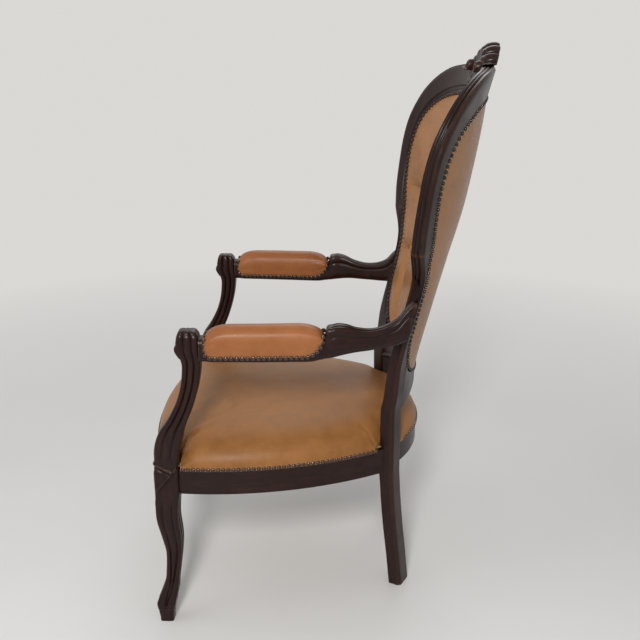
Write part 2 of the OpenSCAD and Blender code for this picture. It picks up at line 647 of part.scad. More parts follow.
// Crest: a fluted shell standing on the top rail with two scroll knobs before it
crest_low = chair_h - 80;
crest_base = bz(1101) + seat_gap;
crest_rows = [[0, 2], [6, 16], [14, 34], [24, 50], [34, 60], [40.6, 66], [41.5, 66], [47, 62],
    [50, 52], [56, 48], [61, 46], [64, 36], [69, 32], [73, 29], [76, 17], [80, 12]];
function crest_relief(x, z) = let (a = atan2(x, z - crest_low + 6))
    5 + 2.5 * cos(a * 9) + 3 * pow(max(0, 1 - norm([x, z - crest_low - 40]) / 50), 0.5);
crest_n = 17;
function crest_depth(z) = frame_t - 1 + (chair_h - z) * 0.02;
module crest_carving() {
    rows = len(crest_rows);
    color(wood) {
        cushion(concat([back_pt(0, crest_low - 3, -2)], flat([for (r = crest_rows)
            [for (j = [0 : crest_n - 1]) let (x = -r[1] * (2 * j / (crest_n - 1) - 1),
                z = crest_low + r[0]) back_pt(x, z, -crest_relief(x, z))]]),
            [back_pt(0, chair_h, -3)]),
            concat([back_pt(0, crest_low - 3, -seat_gap)], flat([for (r = crest_rows)
                [for (j = [0 : 4]) let (x = -r[1] * (j / 2 - 1), z = crest_low + r[0])
                    back_pt(x, z, z < crest_base ? -seat_gap : crest_depth(z))]]),
            [back_pt(0, chair_h, crest_depth(chair_h))]), rows + 2, crest_n, 5);
        both() translate(back_pt(52, chair_h - 42, -13)) rotate([90, 0, 0])
            cylinder(d1 = 16, d2 = 12, h = 12, center = true, $fn = 24);
    }
}

module back_frame_dowels() {
    color(pale_wood) both() {
        top_rail_dowel();
        bottom_rail_dowels();
    }
}

module arm_support(i) {
    color(wood) on_side(i) difference() {
        support_shape();
        support_dowel(dowel_play);
        arm_front_dowel(dowel_play);
    }
}

module arm(i) {
    color(wood) on_side(i) difference() {
        arm_shape();
        stile_at_arm();
        hand_at_arm();
        arm_front_dowel(dowel_play);
        arm_rear_dowel(dowel_play);
    }
}

module arm_dowels() {
    color(pale_wood) both() {
        support_dowel();
        arm_front_dowel();
        arm_rear_dowel();
    }
}

// Seat plan cleared around the legs and stiles
module seat_field(inset, clear) {
    difference() {
        seat_plan(inset);
        both() leg_block(clear);
        both() stile_block(clear);
    }
}
web_edge = 8;
module seat_webbing(z) {
    color(jute) translate([0, 0, z]) linear_extrude(web_t) intersection() {
        seat_field(web_edge, gap);
        children();
    }
}
module seat_webbing_lengthwise() {
    seat_webbing(web_z) for (x = [-2 : 2]) translate([x * web_w * 1.6 - web_w / 2, -seat_front])
        square([web_w, 2 * seat_front]);
}
module seat_webbing_crosswise() {
    seat_webbing(web_z + web_t) for (y = [-2 : 2])
        translate([-seat_w, seat_mid.y - 10 + y * web_w * 1.75 - web_w / 2])
            square([2 * seat_w, web_w]);
}
module seat_hessian() {
    color(jute) translate([0, 0, hessian_z]) linear_extrude(1) seat_field(web_edge - 3, gap);
}

// Domed solid between two sets of rings that run from the middle outwards
module dome_solid(top, under) {
    n = len(top[0]);
    t = len(top);
    u = len(under);
    o = 1 + t * n;
    polyhedron(concat([middle(top[0])], flat(top), [middle(under[0])], flat(under)), concat(
        flat([for (j = [0 : n - 1]) let (k = (j + 1) % n) concat(
            [[0, 1 + k, 1 + j], [o, o + 1 + j, o + 1 + k]],
            flat([for (i = [0 : t - 2]) let (a = 1 + i * n, b = a + n)
                [[a + j, a + k, b + k], [a + j, b + k, b + j]]]),
            flat([for (i = [0 : u - 2]) let (a = o + 1 + i * n, b = a + n)
                [[a + k, a + j, b + k], [a + j, b + j, b + k]]]),
            let (a = o + 1 + (u - 1) * n, b = 1 + (t - 1) * n)
                [[a + j, b + j, b + k], [a + j, b + k, a + k]])])), convexity = 6);
}
module seat_cuts(clear) {
    translate([0, 0, rail_z]) linear_extrude(chair_h / 2) both() {
        stile_block(clear);
        translate([leg_x - leg_s / 2 - clear, leg_y - leg_s - clear])
            square([leg_s * 2, leg_s * 1.5 + 6 + 2 * clear]);
    }
}
cover_base = rail_top + gap;
stuff_rise = seat_crown - (stuffing_z - rail_top) - leather_t - gap;
module seat_stuffing() {
    color(linen) difference() {
        dome_solid(seat_grid(stuffing_z + 2, stuff_rise - 2, leather_t + 2 * gap + 1,
            [0.4, 0.7, 0.87, 0.96, 1]),
            seat_grid(stuffing_z, 0, leather_t + 2 * gap + 1, [0.7, 1]));
        seat_cuts(leather_t + 2 * gap);
    }
}
module seat_cover() {
    color(leather) difference() {
        dome_solid(concat(seat_grid(rail_top + 7, seat_crown - 7, 0, [for (r = seat_rings)
            if (r > 0) r]), seat_grid(cover_base, 0, 0.6, [1])),
            concat(seat_grid(stuffing_z + 2 + gap, stuff_rise - 2, leather_t + 1,
                [0.4, 0.7, 0.87, 0.96, 1]), seat_grid(cover_base, 0, leather_t + 1, [1])));
        seat_cuts(gap);
    }
}

// Head of a decorative nail, on the XY plane
nail_h = 3;
module nail_head() {
    cylinder(d1 = nail_d, d2 = nail_d * 0.8, h = nail_h * 0.5, $fn = 24);
    translate([0, 0, nail_h * 0.5])
        cylinder(d1 = nail_d * 0.8, d2 = nail_d * 0.36, h = nail_h * 0.5, $fn = 24);
}
nail_z = rail_top;
module arc_nails(cx, cy, r, a0, a1) {
    n = floor(abs(a1 - a0) * PI / 180 * r / nail_pitch);
    for (k = [0 : n]) let (a = a0 + (a1 - a0) * k / n)
        translate([cx + (r + 0.2) * cos(a), cy + (r + 0.2) * sin(a), nail_z])
            rotate([0, 90, a]) nail_head();
}
module seat_nails() {
    front_a = asin((leg_x - leg_s / 2 - nail_d) / front_bow_r);
    rear_a = asin((stile_x - stile_w - nail_d) / rear_bow_r);
    color(brass) {
        arc_nails(0, front_bow_r - seat_front, front_bow_r, -90 - front_a, -90 + front_a);
        arc_nails(0, rear_cy, rear_bow_r, 90 - rear_a, 90 + rear_a);
        both() arc_nails(side_cx, side_cy, side_bow_r,
            asin((leg_y + leg_s / 2 + nail_d - side_cy) / side_bow_r),
            asin((stile_y - nail_d / 2 - 3 - side_cy) / side_bow_r));
    }
}

// Layers of the back, from front to rear
stuff_front = 6;
web_front = 12;
lining_front = 18.2;
module layer(d0, d1) {
    cushion(panel_sheet(0, d0, rear_cols, gap), panel_sheet(0, d1, rear_cols, gap), panel_rows,
        rear_cols, rear_cols);
}
module back_cover_front() {
    color(leather) difference() {
        cushion(panel_sheet(1, 0, front_cols, gap), panel_sheet(0, stuff_front, rear_cols, gap),
            panel_rows, front_cols, rear_cols);
        at_buttons() cylinder(d = button_d + 4 * gap, h = 2 * button_d, $fn = 12);
    }
}
module back_stuffing() {
    color(linen) layer(stuff_front + gap, web_front - gap);
}
module back_lining() {
    color(linen) layer(lining_front, lining_front + 1);
}
module back_cover_rear() {
    color(leather) cushion(panel_sheet(0, lining_front + 1 + gap, rear_cols, gap),
        panel_sheet(2, frame_t, rear_cols, gap), panel_rows, rear_cols, rear_cols);
}
// Flat band on the back surface from one point to another, given as [x, z] pairs
module band(a, b, wide, d, n) {
    loft([for (i = [0 : n]) let (p = mix(a, b, i / n), q = [a.y - b.y, b.x - a.x]
        / norm(b - a) * wide / 2)
        [back_pt(p.x - q.x, p.y - q.y, d + web_t), back_pt(p.x + q.x, p.y + q.y, d + web_t),
            back_pt(p.x + q.x, p.y + q.y, d), back_pt(p.x - q.x, p.y - q.y, d)]]);
}
function opening_x(z) = lookup(z, [for (i = [len(opening) - 1 : -1 : 0])
    [opening[i][1], opening[i][0]]]);
module back_webbing_upright() {
    color(jute) for (x = [-95, 0, 95] * back_sx) let (
        top = bz(x == 0 ? 1036 : 1022), low = bz(x == 0 ? 506 : 525))
        band([x, low], [x, top], web_w, web_front + seat_gap, 10);
}
module back_webbing_level() {
    color(jute) for (z = [bz(590), bz(680), bz(770), bz(860), bz(950)])
        let (x = min(opening_x(z - web_w / 2), opening_x(z + web_w / 2)) - 2 * seat_gap)
            band([-x, z], [x, z], web_w, web_front + web_t + 2 * seat_gap, 14);
}
module at_buttons() {
    for (b = buttons) let (w = (b.y - panel_mid) / panel_half, v = b.x / opening_x(b.y),
        d = panel_height(b.x, b.y, w, v, 1, 0) - button_d / 9)
        translate(back_pt(b.x, b.y, d)) rotate([90, 0, -hollow(b.x, b.y)]) children();
}
module back_buttons() {
    color(leather) at_buttons() translate([0, 0, gap]) scale(button_d / nail_d) nail_head();
}

// Nails round the opening, evenly spaced along its edge
edge_step = [for (i = 0, s = 0; i < len(opening); i = i + 1,
    s = i < len(opening) ? s + norm(opening[i] - opening[i - 1]) : s) s];
edge_len = edge_step[len(opening) - 1];
edge_n = floor(edge_len / nail_pitch);
edge_x = [for (i = [0 : len(opening) - 1]) [edge_step[i], opening[i][0]]];
edge_z = [for (i = [0 : len(opening) - 1]) [edge_step[i], opening[i][1]]];
module edge_nails(d, turn) {
    color(brass) for (k = [0 : edge_n], s = [1, -1]) if (s == 1 || (k > 0 && k < edge_n))
        let (t = edge_len * k / edge_n, x = s * lookup(t, edge_x), z = lookup(t, edge_z))
            translate(back_pt(x, z, d)) rotate([turn, 0, -hollow(x, z)]) nail_head();
}
module back_nails_front() {
    edge_nails(-seat_gap, 90);
}
module back_nails_rear() {
    edge_nails(frame_t + seat_gap, -90);
}

// Arm pads: end shaping along the pad, then rings of the leather and the stuffing
pad_z = nail_line;
function pad_end(t) = pow(1 - pow(abs(2 * t - 1), 5), 0.5);
function arm_line(y) = arm_half + lookup(y, [for (r = arm_rows) [r[0], r[1]]]);
function pad_ring(t, skin, low) = let (y = mix(pad_front_y + skin, pad_back_y - skin, t),
    e = 0.35 + 0.65 * pad_end(t), x = arm_line(y), n = arm_w * 0.55 + 1 - skin + leather_t,
    w = (pad_w / 2) * (0.78 + 0.22 * e) - skin, h = (pad_h - 4) * (0.42 + 0.58 * e) - skin)
    [for (p = [[low, -n], [6, -n - 1], [h * 0.45, -w], [h * 0.75, -w * 0.9], [h * 0.94, -w * 0.6],
        [h, -w * 0.2], [h, w * 0.2], [h * 0.94, w * 0.6], [h * 0.75, w * 0.9], [h * 0.45, w],
        [6, n + 1], [low, n]]) [x + p[1], y, pad_z + p[0]]];
function pad_steps(n) = [for (i = [0 : n]) 0.5 - 0.5 * cos(180 * i / n)];
module pad_shape(skin, low, n) {
    loft([for (t = pad_steps(n)) pad_ring(t, skin, low)]);
}
module arm_pad_cover(i) {
    color(leather) on_side(i) difference() {
        pad_shape(0, 0, 16);
        pad_shape(leather_t, -4, 12);
        arm_under_pad();
    }
}
module arm_pad_stuffing(i) {
    color(linen) on_side(i) difference() {
        pad_shape(leather_t + gap, 4, 12);
        translate([0, 0, gap]) arm_under_pad();
    }
}
module arm_nails(i) {
    n = floor((pad_l - nail_d) / nail_pitch);
    color(brass) on_side(i) for (k = [0 : n], s = [1, -1])
        let (y = mix(pad_front_y + nail_d, pad_back_y - nail_d / 2, k / n), x = arm_line(y)
            + s * (arm_w * 0.55 + 1 + leather_t + seat_gap))
            translate([x, y, pad_z]) rotate([0, s * 90, 0]) nail_head();
}

front_leg(0);  // front_leg_left
front_leg(1);  // front_leg_right
rear_stile(0);  // rear_stile_left
rear_stile(1);  // rear_stile_right
front_seat_rail();
side_seat_rail(0);  // side_seat_rail_left
side_seat_rail(1);  // side_seat_rail_right
rear_seat_rail();
front_corner_blocks();
rear_corner_blocks();
corner_block_screws();
seat_rail_dowels();
back_bottom_rail();
back_top_rail();
crest_carving();
back_frame_dowels();
arm_support(0);  // arm_support_left
arm_support(1);  // arm_support_right
arm(0);  // arm_left
arm(1);  // arm_right
arm_dowels();
seat_webbing_lengthwise();
seat_webbing_crosswise();
seat_hessian();
seat_stuffing();
seat_cover();
seat_nails();
back_webbing_upright();
back_webbing_level();
back_stuffing();
back_cover_front();
back_buttons();
back_nails_front();
back_lining();
back_cover_rear();
back_nails_rear();
arm_pad_stuffing(0);  // arm_pad_stuffing_left
arm_pad_stuffing(1);  // arm_pad_stuffing_right
arm_pad_cover(0);  // arm_pad_cover_left
arm_pad_cover(1);  // arm_pad_cover_right
arm_nails(0);  // arm_nails_left
arm_nails(1);  // arm_nails_right
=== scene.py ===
"""Armchair: carved dark wood, tan leather and dome-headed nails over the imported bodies."""

from math import asin, cos, exp, floor, log, pi, radians, sin, sqrt

import bmesh
import bpy
import numpy as np
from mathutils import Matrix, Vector


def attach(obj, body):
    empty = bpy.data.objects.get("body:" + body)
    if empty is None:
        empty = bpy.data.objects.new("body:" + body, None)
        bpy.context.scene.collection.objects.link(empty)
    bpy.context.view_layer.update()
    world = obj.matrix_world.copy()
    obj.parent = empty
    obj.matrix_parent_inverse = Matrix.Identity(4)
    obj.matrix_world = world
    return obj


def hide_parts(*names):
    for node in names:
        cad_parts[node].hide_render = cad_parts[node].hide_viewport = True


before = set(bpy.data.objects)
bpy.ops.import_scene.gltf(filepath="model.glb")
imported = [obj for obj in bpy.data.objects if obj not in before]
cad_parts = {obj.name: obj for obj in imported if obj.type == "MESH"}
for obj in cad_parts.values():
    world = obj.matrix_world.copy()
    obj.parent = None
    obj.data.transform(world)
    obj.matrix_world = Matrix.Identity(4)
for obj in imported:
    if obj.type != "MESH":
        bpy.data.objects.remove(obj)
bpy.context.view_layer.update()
MM = 0.001
ROOT = "root"
SIDES = {"left": 1, "right": -1}

# Sizes in millimetres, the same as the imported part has
CHAIR_H = 1140
RAIL_TOP = 346
SEAT_W, SEAT_FRONT, SEAT_BACK = 576, 345, 223
FRONT_BOW, SIDE_BOW, REAR_BOW = 730, 700, 277
LEG_S, TOE_SWEEP = 48, 15
STILE_W, STILE_T, STILE_TURN = 42, 29, radians(28)
REAR_RAKE, REAR_TUCK = 28, 26
FRAME_T, MOULD_D = 26, 3.2
LOW_RAIL_Z = 415
ARM_HALF, ARM_Z, ARM_W = 285, 576, 38
PAD_FRONT, PAD_L, PAD_W, PAD_H = -202, 222, 54, 58
SEAT_CROWN, BACK_CROWN, REAR_CROWN, TUFT_D = 70, 15, 10, 12
BUTTON_D = 16
NAIL_R, NAIL_H, PITCH = 4.5, 3.1, 9.8
BACK_NAIL_R, BACK_NAIL_H = 3.6, 2.2
LEG_TOP, HAND_TOP = RAIL_TOP + 4, ARM_Z + 58
# Underside of the arm pads, and half the width that they are nailed to
PAD_Z, PAD_GRIP = ARM_Z + 13, ARM_W * 0.55
PAD_BACK, PAD_MID = PAD_FRONT + PAD_L, -90
MIRROR = np.array([-1, 1, 1])


# Curves and tables

def curve(points, n):
    """Smooth curve through the points, n steps between each two."""
    p = np.array(points, float)
    p = np.vstack([2 * p[0] - p[1], p, 2 * p[-1] - p[-2]])
    out = []
    for a, b, c, d in zip(p, p[1:], p[2:], p[3:]):
        for t in np.arange(n) / n:
            out.append(0.5 * (2 * b + (c - a) * t + (2 * a - 5 * b + 4 * c - d) * t * t
                              + (3 * b - a - 3 * c + d) * t ** 3))
    out.append(p[-2])
    return np.array(out)


def smooth(a, b, x):
    """0 up to a, 1 from b on and a soft rise between them."""
    t = np.clip((x - a) / (b - a), 0, 1)
    return t * t * (3 - 2 * t)


def ridge(x, centre, width):
    """A bell of height 1."""
    return np.exp(-((x - centre) / width) ** 2)


def half_round(x, r):
    """Height, 0 to 1, of a round bead of radius r that begins at x = 0."""
    return np.sqrt(np.clip(1 - ((x - r) / r) ** 2, 0, 1))


def circle(n):
    return np.arange(n) * 2 * pi / n


def travelled(points):
    """Length of the way along the points up to each of them."""
    return np.concatenate([[0], np.cumsum(np.linalg.norm(np.diff(points, axis=0), axis=1))])


def resampled(rows, run, at):
    """The rows at other places along a way, run being the place of each."""
    return np.column_stack([np.interp(at, run, column) for column in rows.T])


def unit(v):
    return v / np.linalg.norm(v, axis=-1, keepdims=True)


# Back surface, leaning and hollow: y at the middle, and hollow in thousandths, by height

LEAN = curve([
    (380, 190), (460, 190), (520, 194), (620, 214), (720, 239), (820, 266), (920, 286),
    (1000, 302), (1050, 312.5), (1085, 321.5), (1150, 340), (1200, 356)
], 8)
BOW = curve([
    (380, 1.45), (520, 1.42), (570, 1.38), (620, 1.28), (700, 1.24), (760, 1.32), (940, 1.32),
    (1030, 1.17), (1090, 1.1), (1200, 1.1)
], 8)


def hollow(x, z):
    """Turn of the back's surface in plan."""
    return np.arctan(0.002 * np.interp(z, *BOW.T) * x)


def back_pt(x, z, d=0):
    """Point of the back, d behind its front surface."""
    x, z, d = np.broadcast_arrays(*(np.asarray(v, float) for v in (x, z, d)))
    a = hollow(x, z)
    y = np.interp(z, *LEAN.T) - np.interp(z, *BOW.T) * x * x / 1000
    return np.stack([x + d * np.sin(a), y + d * np.cos(a), z], axis=-1)


# Outer x, outer z, inner x and inner z of the frame, from the middle of the top to the waist
ARCH = [
    (0, 1101, 0, 1042), (70, 1100, 60, 1041), (130, 1096, 115, 1037), (180, 1087, 160, 1027),
    (222, 1065, 196, 1008), (250, 1032, 219, 980), (262, 990, 230, 940), (264, 940, 231, 890),
    (260, 880, 225, 848), (252, 820, 214, 806), (236, 770, 200, 770)
]
# Height, outer x and inner x of the stiles, up to the arch
WAIST = [
    (520, 186, 148), (545, 186, 150), (575, 187, 160), (610, 190, 171.5), (650, 192, 176.5),
    (690, 197, 182), (715, 203, 187), (735, 212, 192), (752, 224, 196), (770, 236, 200)
]
# Edge of the upholstered opening, x and z from the middle of the top to the middle of the
# bottom, where it comes 26 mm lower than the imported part's
OPENING = curve([
    (0, 1042), (60, 1041), (115, 1037), (160, 1027), (196, 1008), (219, 980), (230, 940),
    (231, 885), (220, 825), (200, 770), (185, 715), (176, 660), (170, 604), (157, 552),
    (128, 506), (70, 479), (0, 472)
], 10)


def opening_x(z):
    return np.interp(z, OPENING[::-1, 1], OPENING[::-1, 0])


def opening_low(x):
    low = OPENING[-60:]
    return np.interp(np.abs(x), low[::-1, 0], low[::-1, 1])


# Seat plan: what four large circles have in common

SIDE_CX, SIDE_CY, REAR_CY = SEAT_W / 2 - SIDE_BOW, -214, SEAT_BACK - REAR_BOW
SEAT_MID = np.array([0, -70])


def side_x(y):
    return SIDE_CX + sqrt(SIDE_BOW ** 2 - (y - SIDE_CY) ** 2)


def front_y(x):
    return FRONT_BOW - SEAT_FRONT - sqrt(FRONT_BOW ** 2 - x * x)


LEG_X = side_x(-291) - 11
LEG_Y = front_y(LEG_X) + 3
STILE_Y = 134
STILE_X = side_x(STILE_Y) - 11
STILE_IN = np.array([-cos(STILE_TURN), sin(STILE_TURN), 0])
STILE_BACK = np.array([sin(STILE_TURN), cos(STILE_TURN), 0])


# Mesh helpers

def placed(name, data):
    obj = bpy.data.objects.new(name, data)
    bpy.context.collection.objects.link(obj)
    return obj


def piece(name, part, material, nodes, sharp=40, side=None):
    """A mesh object from a part's points, in millimetres, and faces, riding on the root. With a
    side, the names end in it and the right one is mirrored."""
    verts, faces = part
    if side:
        name, nodes = f"{name}_{side}", [f"{node}_{side}" for node in nodes]
    if side == "right":
        verts = verts * MIRROR
    mesh = bpy.data.meshes.new(name)
    mesh.from_pydata((verts * MM).tolist(), [], faces)
    work = bmesh.new()
    work.from_mesh(mesh)
    bmesh.ops.remove_doubles(work, verts=work.verts, dist=1e-6)
    bmesh.ops.recalc_face_normals(work, faces=work.faces)
    work.to_mesh(mesh)
    work.free()
    mesh.polygons.foreach_set("use_smooth", [True] * len(mesh.polygons))
    mesh.set_sharp_from_angle(angle=radians(sharp))
    obj = placed(name, mesh)
    mesh.materials.append(material)
    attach(obj, ROOT)
    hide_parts(*nodes)
    return obj


def grid_faces(m, n, wrap=True, start=0):
    """Quads of m rows of n points, joined round when wrap is true."""
    return [(a + j, a + (j + 1) % n, a + n + (j + 1) % n, a + n + j)
            for a in range(start, start + (m - 1) * n, n) for j in range(n if wrap else n - 1)]


def loft(rings):
    """Points and faces of a closed solid from rings of equal length."""
    rings = np.array(rings, float)
    m, n = rings.shape[:2]
    verts = np.vstack([rings.reshape(-1, 3), rings[0].mean(axis=0), rings[-1].mean(axis=0)])
    faces = grid_faces(m, n)
    faces += [(m * n, (j + 1) % n, j) for j in range(n)]
    last = (m - 1) * n
    faces += [(m * n + 1, last + j, last + (j + 1) % n) for j in range(n)]
    return verts, faces


def rounded(n, size, r):
    """n points of a square with sides of size and corner radius r, as offsets from its centre."""
    h, a = size / 2, circle(n)
    # the round corner cuts 0.293 of its radius off the half diagonal
    power = -log(2) / log(1 - 0.293 * min(r / h, 0.95))
    reach = h * (np.abs(np.cos(a)) ** power + np.abs(np.sin(a)) ** power) ** (-1 / power)
    return np.column_stack([reach * np.cos(a), reach * np.sin(a)])


def dense(stations, step, soften):
    """Rows resampled along their first three columns and softened, with both ends kept."""
    s = np.array(stations, float)
    run = travelled(s[:, :3])
    at = np.linspace(0, run[-1], int(run[-1] / step) + 2)
    rows = resampled(s, run, at)
    out = []
    for i, here in enumerate(at):
        reach = min(soften, here, run[-1] - here) + 1e-6
        w = np.clip(1 - np.abs(at - here) / reach, 0, None) if reach > step else np.eye(len(at))[i]
        out.append((rows * w[:, None]).sum(axis=0) / w.sum())
    return np.array(out)


# Wood pieces

# Front leg: height, share of the toe's sweep, width and corner radius
LEG_ROWS = [
    (0, 1, 28, 5), (8, 1, 28.5, 5), (27, 1, 33, 5), (42, 0.96, 38.8, 6), (52, 0.8, 37.2, 6),
    (69, 0.45, 34.2, 7), (90.5, 0.15, 29, 8), (108, 0, 29.4, 8), (131, -0.15, 30.9, 8),
    (155, -0.25, 33.8, 8), (178, -0.2, 38.5, 8), (201, -0.05, 41.9, 8), (236, 0.2, 45, 8),
    (269, 0.15, 46.9, 8), (289, 0, 48, 8), (310, 0, 48, 8), (330, 0, 48, 8), (350, 0, 48, 8)
]
# The two crossing ribbons of the knee collar: slope, and height at the middle of the leg
RIBBONS = [(-0.52, 348.5), (1.2, 328)]


def ribbons(z, y):
    """Raised bands with a groove under each, by height and by depth on the side of the leg."""
    lift = 0
    for slope, level in RIBBONS:
        line = (z - level - slope * y) / np.hypot(1, slope)
        ends = 1 - smooth(8, 14, y) if slope < 0 else 1
        lift = lift + (2.6 * ridge(line, 0, 2.8) - 2 * ridge(line, -5.6, 2.4)) * ends
    return lift


def flutes(u, places, width, depth):
    """Depth of grooves at places across a face, u from -1 to 1."""
    return sum(depth * ridge(u, p, width) for p in places)


def face_share(out, across, low, high, corner):
    """Share of a face's carving, from how far out a point lies and where it is across."""
    return smooth(low, high, out) * (1 - smooth(corner, 1, np.abs(across)))


def front_leg(side):
    rings = []
    for z, sweep, size, r in curve(LEG_ROWS, 12):
        p = rounded(96, size, r)
        u = p / (size / 2)
        # two flutes down each face, which close up towards the foot
        close = 0.34 * smooth(40, 150, z) + 0.06
        fade = smooth(24, 40, z) * (1 - smooth(262, 292, z)) * (1 - 0.4 * smooth(0, 70, 70 - z))
        face = [face_share(np.abs(u[:, k]), u[:, 1 - k], 0.7, 0.95, 0.8) for k in (0, 1)]
        for k in (0, 1):
            groove = flutes(u[:, 1 - k], (-close, close), 0.13, 3.2 * fade)
            p[:, k] -= np.sign(p[:, k]) * face[k] * groove
        # pointed leaf under the collar on the front corner, and the step of the foot block
        corner = np.clip((p[:, 0] - p[:, 1]) / size, 0, 1)
        leaf = smooth(0, 0.16, corner - 0.62 - 0.0042 * (318 - z)) * smooth(232, 246, z)
        p *= 1 + 0.055 * leaf[:, None] * (1 - smooth(338, 350, z))
        p *= 1 - 0.05 * ridge(z, 27, 1.6) + 0.02 * ridge(z, 31, 3)
        p[:, 0] += ribbons(z, p[:, 1]) * face[0] * (p[:, 0] > 0) * smooth(290, 304, z)
        toe = TOE_SWEEP * sweep
        ring = [LEG_X + toe + p[:, 0], LEG_Y - toe + p[:, 1], np.full(96, z)]
        rings.append(np.column_stack(ring))
    piece("front_leg_carved", loft(rings), WOOD, ["front_leg"], side=side)


# Grooves down the outer side of the frame: share of its thickness, depth and width
SIDE_GROOVES = [(0.56, 3.2, 0.075), (0.29, 1.9, 0.05)]


def moulding(w, t, f):
    """Section of width w and thickness t, carved by the share f: on the front a flat, a step, a
    groove and a bead at the inner edge, and grooves down the outer side."""
    p = np.concatenate([np.linspace(0, w - 21, 12), np.linspace(w - 20, w, 31)])
    depth = MOULD_D * f * smooth(w - 19, w - 14, p) * (1 - 0.75 * half_round(w - p, 3.2))
    depth = depth + 1.2 * f * ridge(w - p, 8.2, 1.4) + 2.4 * f * np.exp(-p / 1.8)
    depth = depth + 2.5 * (1 - f) * np.exp(-np.minimum(p, w - p) / 1.6)
    inside = np.column_stack([np.full(8, w), np.linspace(depth[-1] + 1, t - 2, 8)])
    inside[-1, 0] = w - 0.4
    rear = np.array([(w - 2, t), (w * 0.75, t), (w * 0.5, t), (w * 0.3, t), (7, t), (5, t - 0.9)])
    q = np.linspace(0.06, 0.8, 27)
    groove = f * sum(deep * ridge(q, at, wide) for at, deep, wide in SIDE_GROOVES)
    side = np.column_stack([groove, t * q])[::-1]
    return np.vstack([np.column_stack([p, depth]), inside, rear, side])


def section_ring(s):
    """The section at a station: its place, ways across and back, width, thickness and share."""
    across, back, sec = unit(s[3:6]), unit(s[6:9]), moulding(*s[9:])
    return s[:3] + sec[:, :1] * across + sec[:, 1:] * back


def frame_row(xo, zo, xi, zi, t, f):
    """Station of the back frame between an outer and an inner point."""
    a, b = back_pt(xo, zo), back_pt(xi, zi)
    h = hollow((xo + xi) / 2, (zo + zi) / 2)
    return np.array([*a, *unit(b - a), sin(h), cos(h), 0, np.linalg.norm(b - a), t, f])


def leg_row(z, dx, dy):
    """Station of the rear leg, moved by dx and dy from the seat joint."""
    return np.array([STILE_X + dx, STILE_Y + dy, z, *STILE_IN, *STILE_BACK, STILE_W, STILE_T, 0])


LOW_ROWS = [
    leg_row(0, -REAR_TUCK, REAR_RAKE), leg_row(73, -19.5, 20.5),
    leg_row(146, -REAR_TUCK * 0.45, REAR_RAKE * 0.42), leg_row(220, -4.5, 4.5),
    leg_row(286, 0, 0), leg_row(356, 0, 0), leg_row(430, 1, -1)
]
HIGH_ROWS = [frame_row(xo, z, xi, z, FRAME_T, min(1, (z - 520) / 60)) for z, xo, xi in WAIST]
MID_ROW = LOW_ROWS[-1].copy()
MID_ROW[:3] = LOW_ROWS[-1][:3] * 0.65 + HIGH_ROWS[0][:3] * 0.35 + [0, 2, 0]
MID_ROW[9] = STILE_W * 0.6 + HIGH_ROWS[0][9] * 0.4
MID_ROW[10] = (STILE_T + FRAME_T) / 2
STILE = np.array(LOW_ROWS + [MID_ROW] + HIGH_ROWS)
ARCH_FINE = np.array([frame_row(*r, FRAME_T, 1) for r in curve(ARCH, 12)])


def rear_stile(side):
    rings = [section_ring(s) for s in dense(STILE, 4, 16)]
    piece("rear_stile_moulded", loft(rings), WOOD, ["rear_stile"], side=side)


def top_rail():
    half = [section_ring(s) for s in ARCH_FINE]
    rings = [ring * MIRROR for ring in half[:0:-1]] + half
    piece("back_arch_moulded", loft(rings), WOOD, ["back_top_rail"])


def stile_edge(z, d):
    """x and y of the stile's inner edge, d behind its front."""
    e = STILE[:, :3] + STILE[:, 3:6] * STILE[:, 9:10] + STILE[:, 6:9] * d
    return [np.interp(z, STILE[:, 2], e[:, k]) for k in (0, 1)]


def bottom_rail():
    rings = []
    for k in np.linspace(-1, 1, 141):
        x = k * stile_edge(480, 0)[0]
        # the lower edge is an arch, 26 mm high over a half width of 150
        z0 = LOW_RAIL_Z + 30 - 26 * (abs(x) / 150) ** 2
        z1 = float(opening_low(x))
        h = np.linspace(z0, z1, 35)
        low, high = h - z0, z1 - h
        beads = np.maximum(half_round(high, 3.4), half_round(low, 5))
        front = MOULD_D * (1 - beads) + ridge(high, 8, 1.2) + ridge(low, 11, 1.4)
        ring = [(z0 - 2, 8), (z0 - 3, 13), (z0 - 2, 18), (z0, 23), (z0 + 3, FRAME_T)]
        ring += [(q, FRAME_T) for q in np.linspace(z0 + 12, z1 - 4, 6)] + [(z1, 23), (z1, 10)]
        ring += list(zip(h[::-1], front[::-1]))
        # the ends bend from the back's surface to the stiles and reach 1.5 mm into them
        pull = abs(k) ** 6
        row = []
        for z, d in ring:
            ex, ey = stile_edge(z, d)
            ex = ex + 1.5
            q = back_pt(ex, z, d)
            p = back_pt(ex * abs(k), z, d)
            row.append([np.sign(k) * (p[0] + (ex - q[0]) * pull), p[1] + (ey - q[1]) * pull, z])
        rings.append(row)
    piece("back_rail_moulded", loft(rings), WOOD, ["back_bottom_rail"])


# Arm support: height over the leg, y, shift from ARM_HALF, depth and width
SUPPORT_ROWS = [
    (0, -287, -9, 46, 42), (20, -286, -6, 48, 40), (40, -285, -3, 50, 39), (62, -280, 0, 51, 38),
    (84, -273, 2, 48, 37), (104, -263, 3, 41, 36), (124, -253, 3, 38, 35), (146, -244, 3, 35, 34),
    (168, -237, 2, 34, 34), (190, -232, 1, 34, 34), (212, -229, 0, 35, 34),
    (230, -228, 0, 36, 35), (243, -230, 0, 40, 37), (257, -233, 0, 43, 38),
    (270, -233, 0, 43, 38), (283, -233, 0, 41, 36), (291, -234, -1, 34, 30)
]


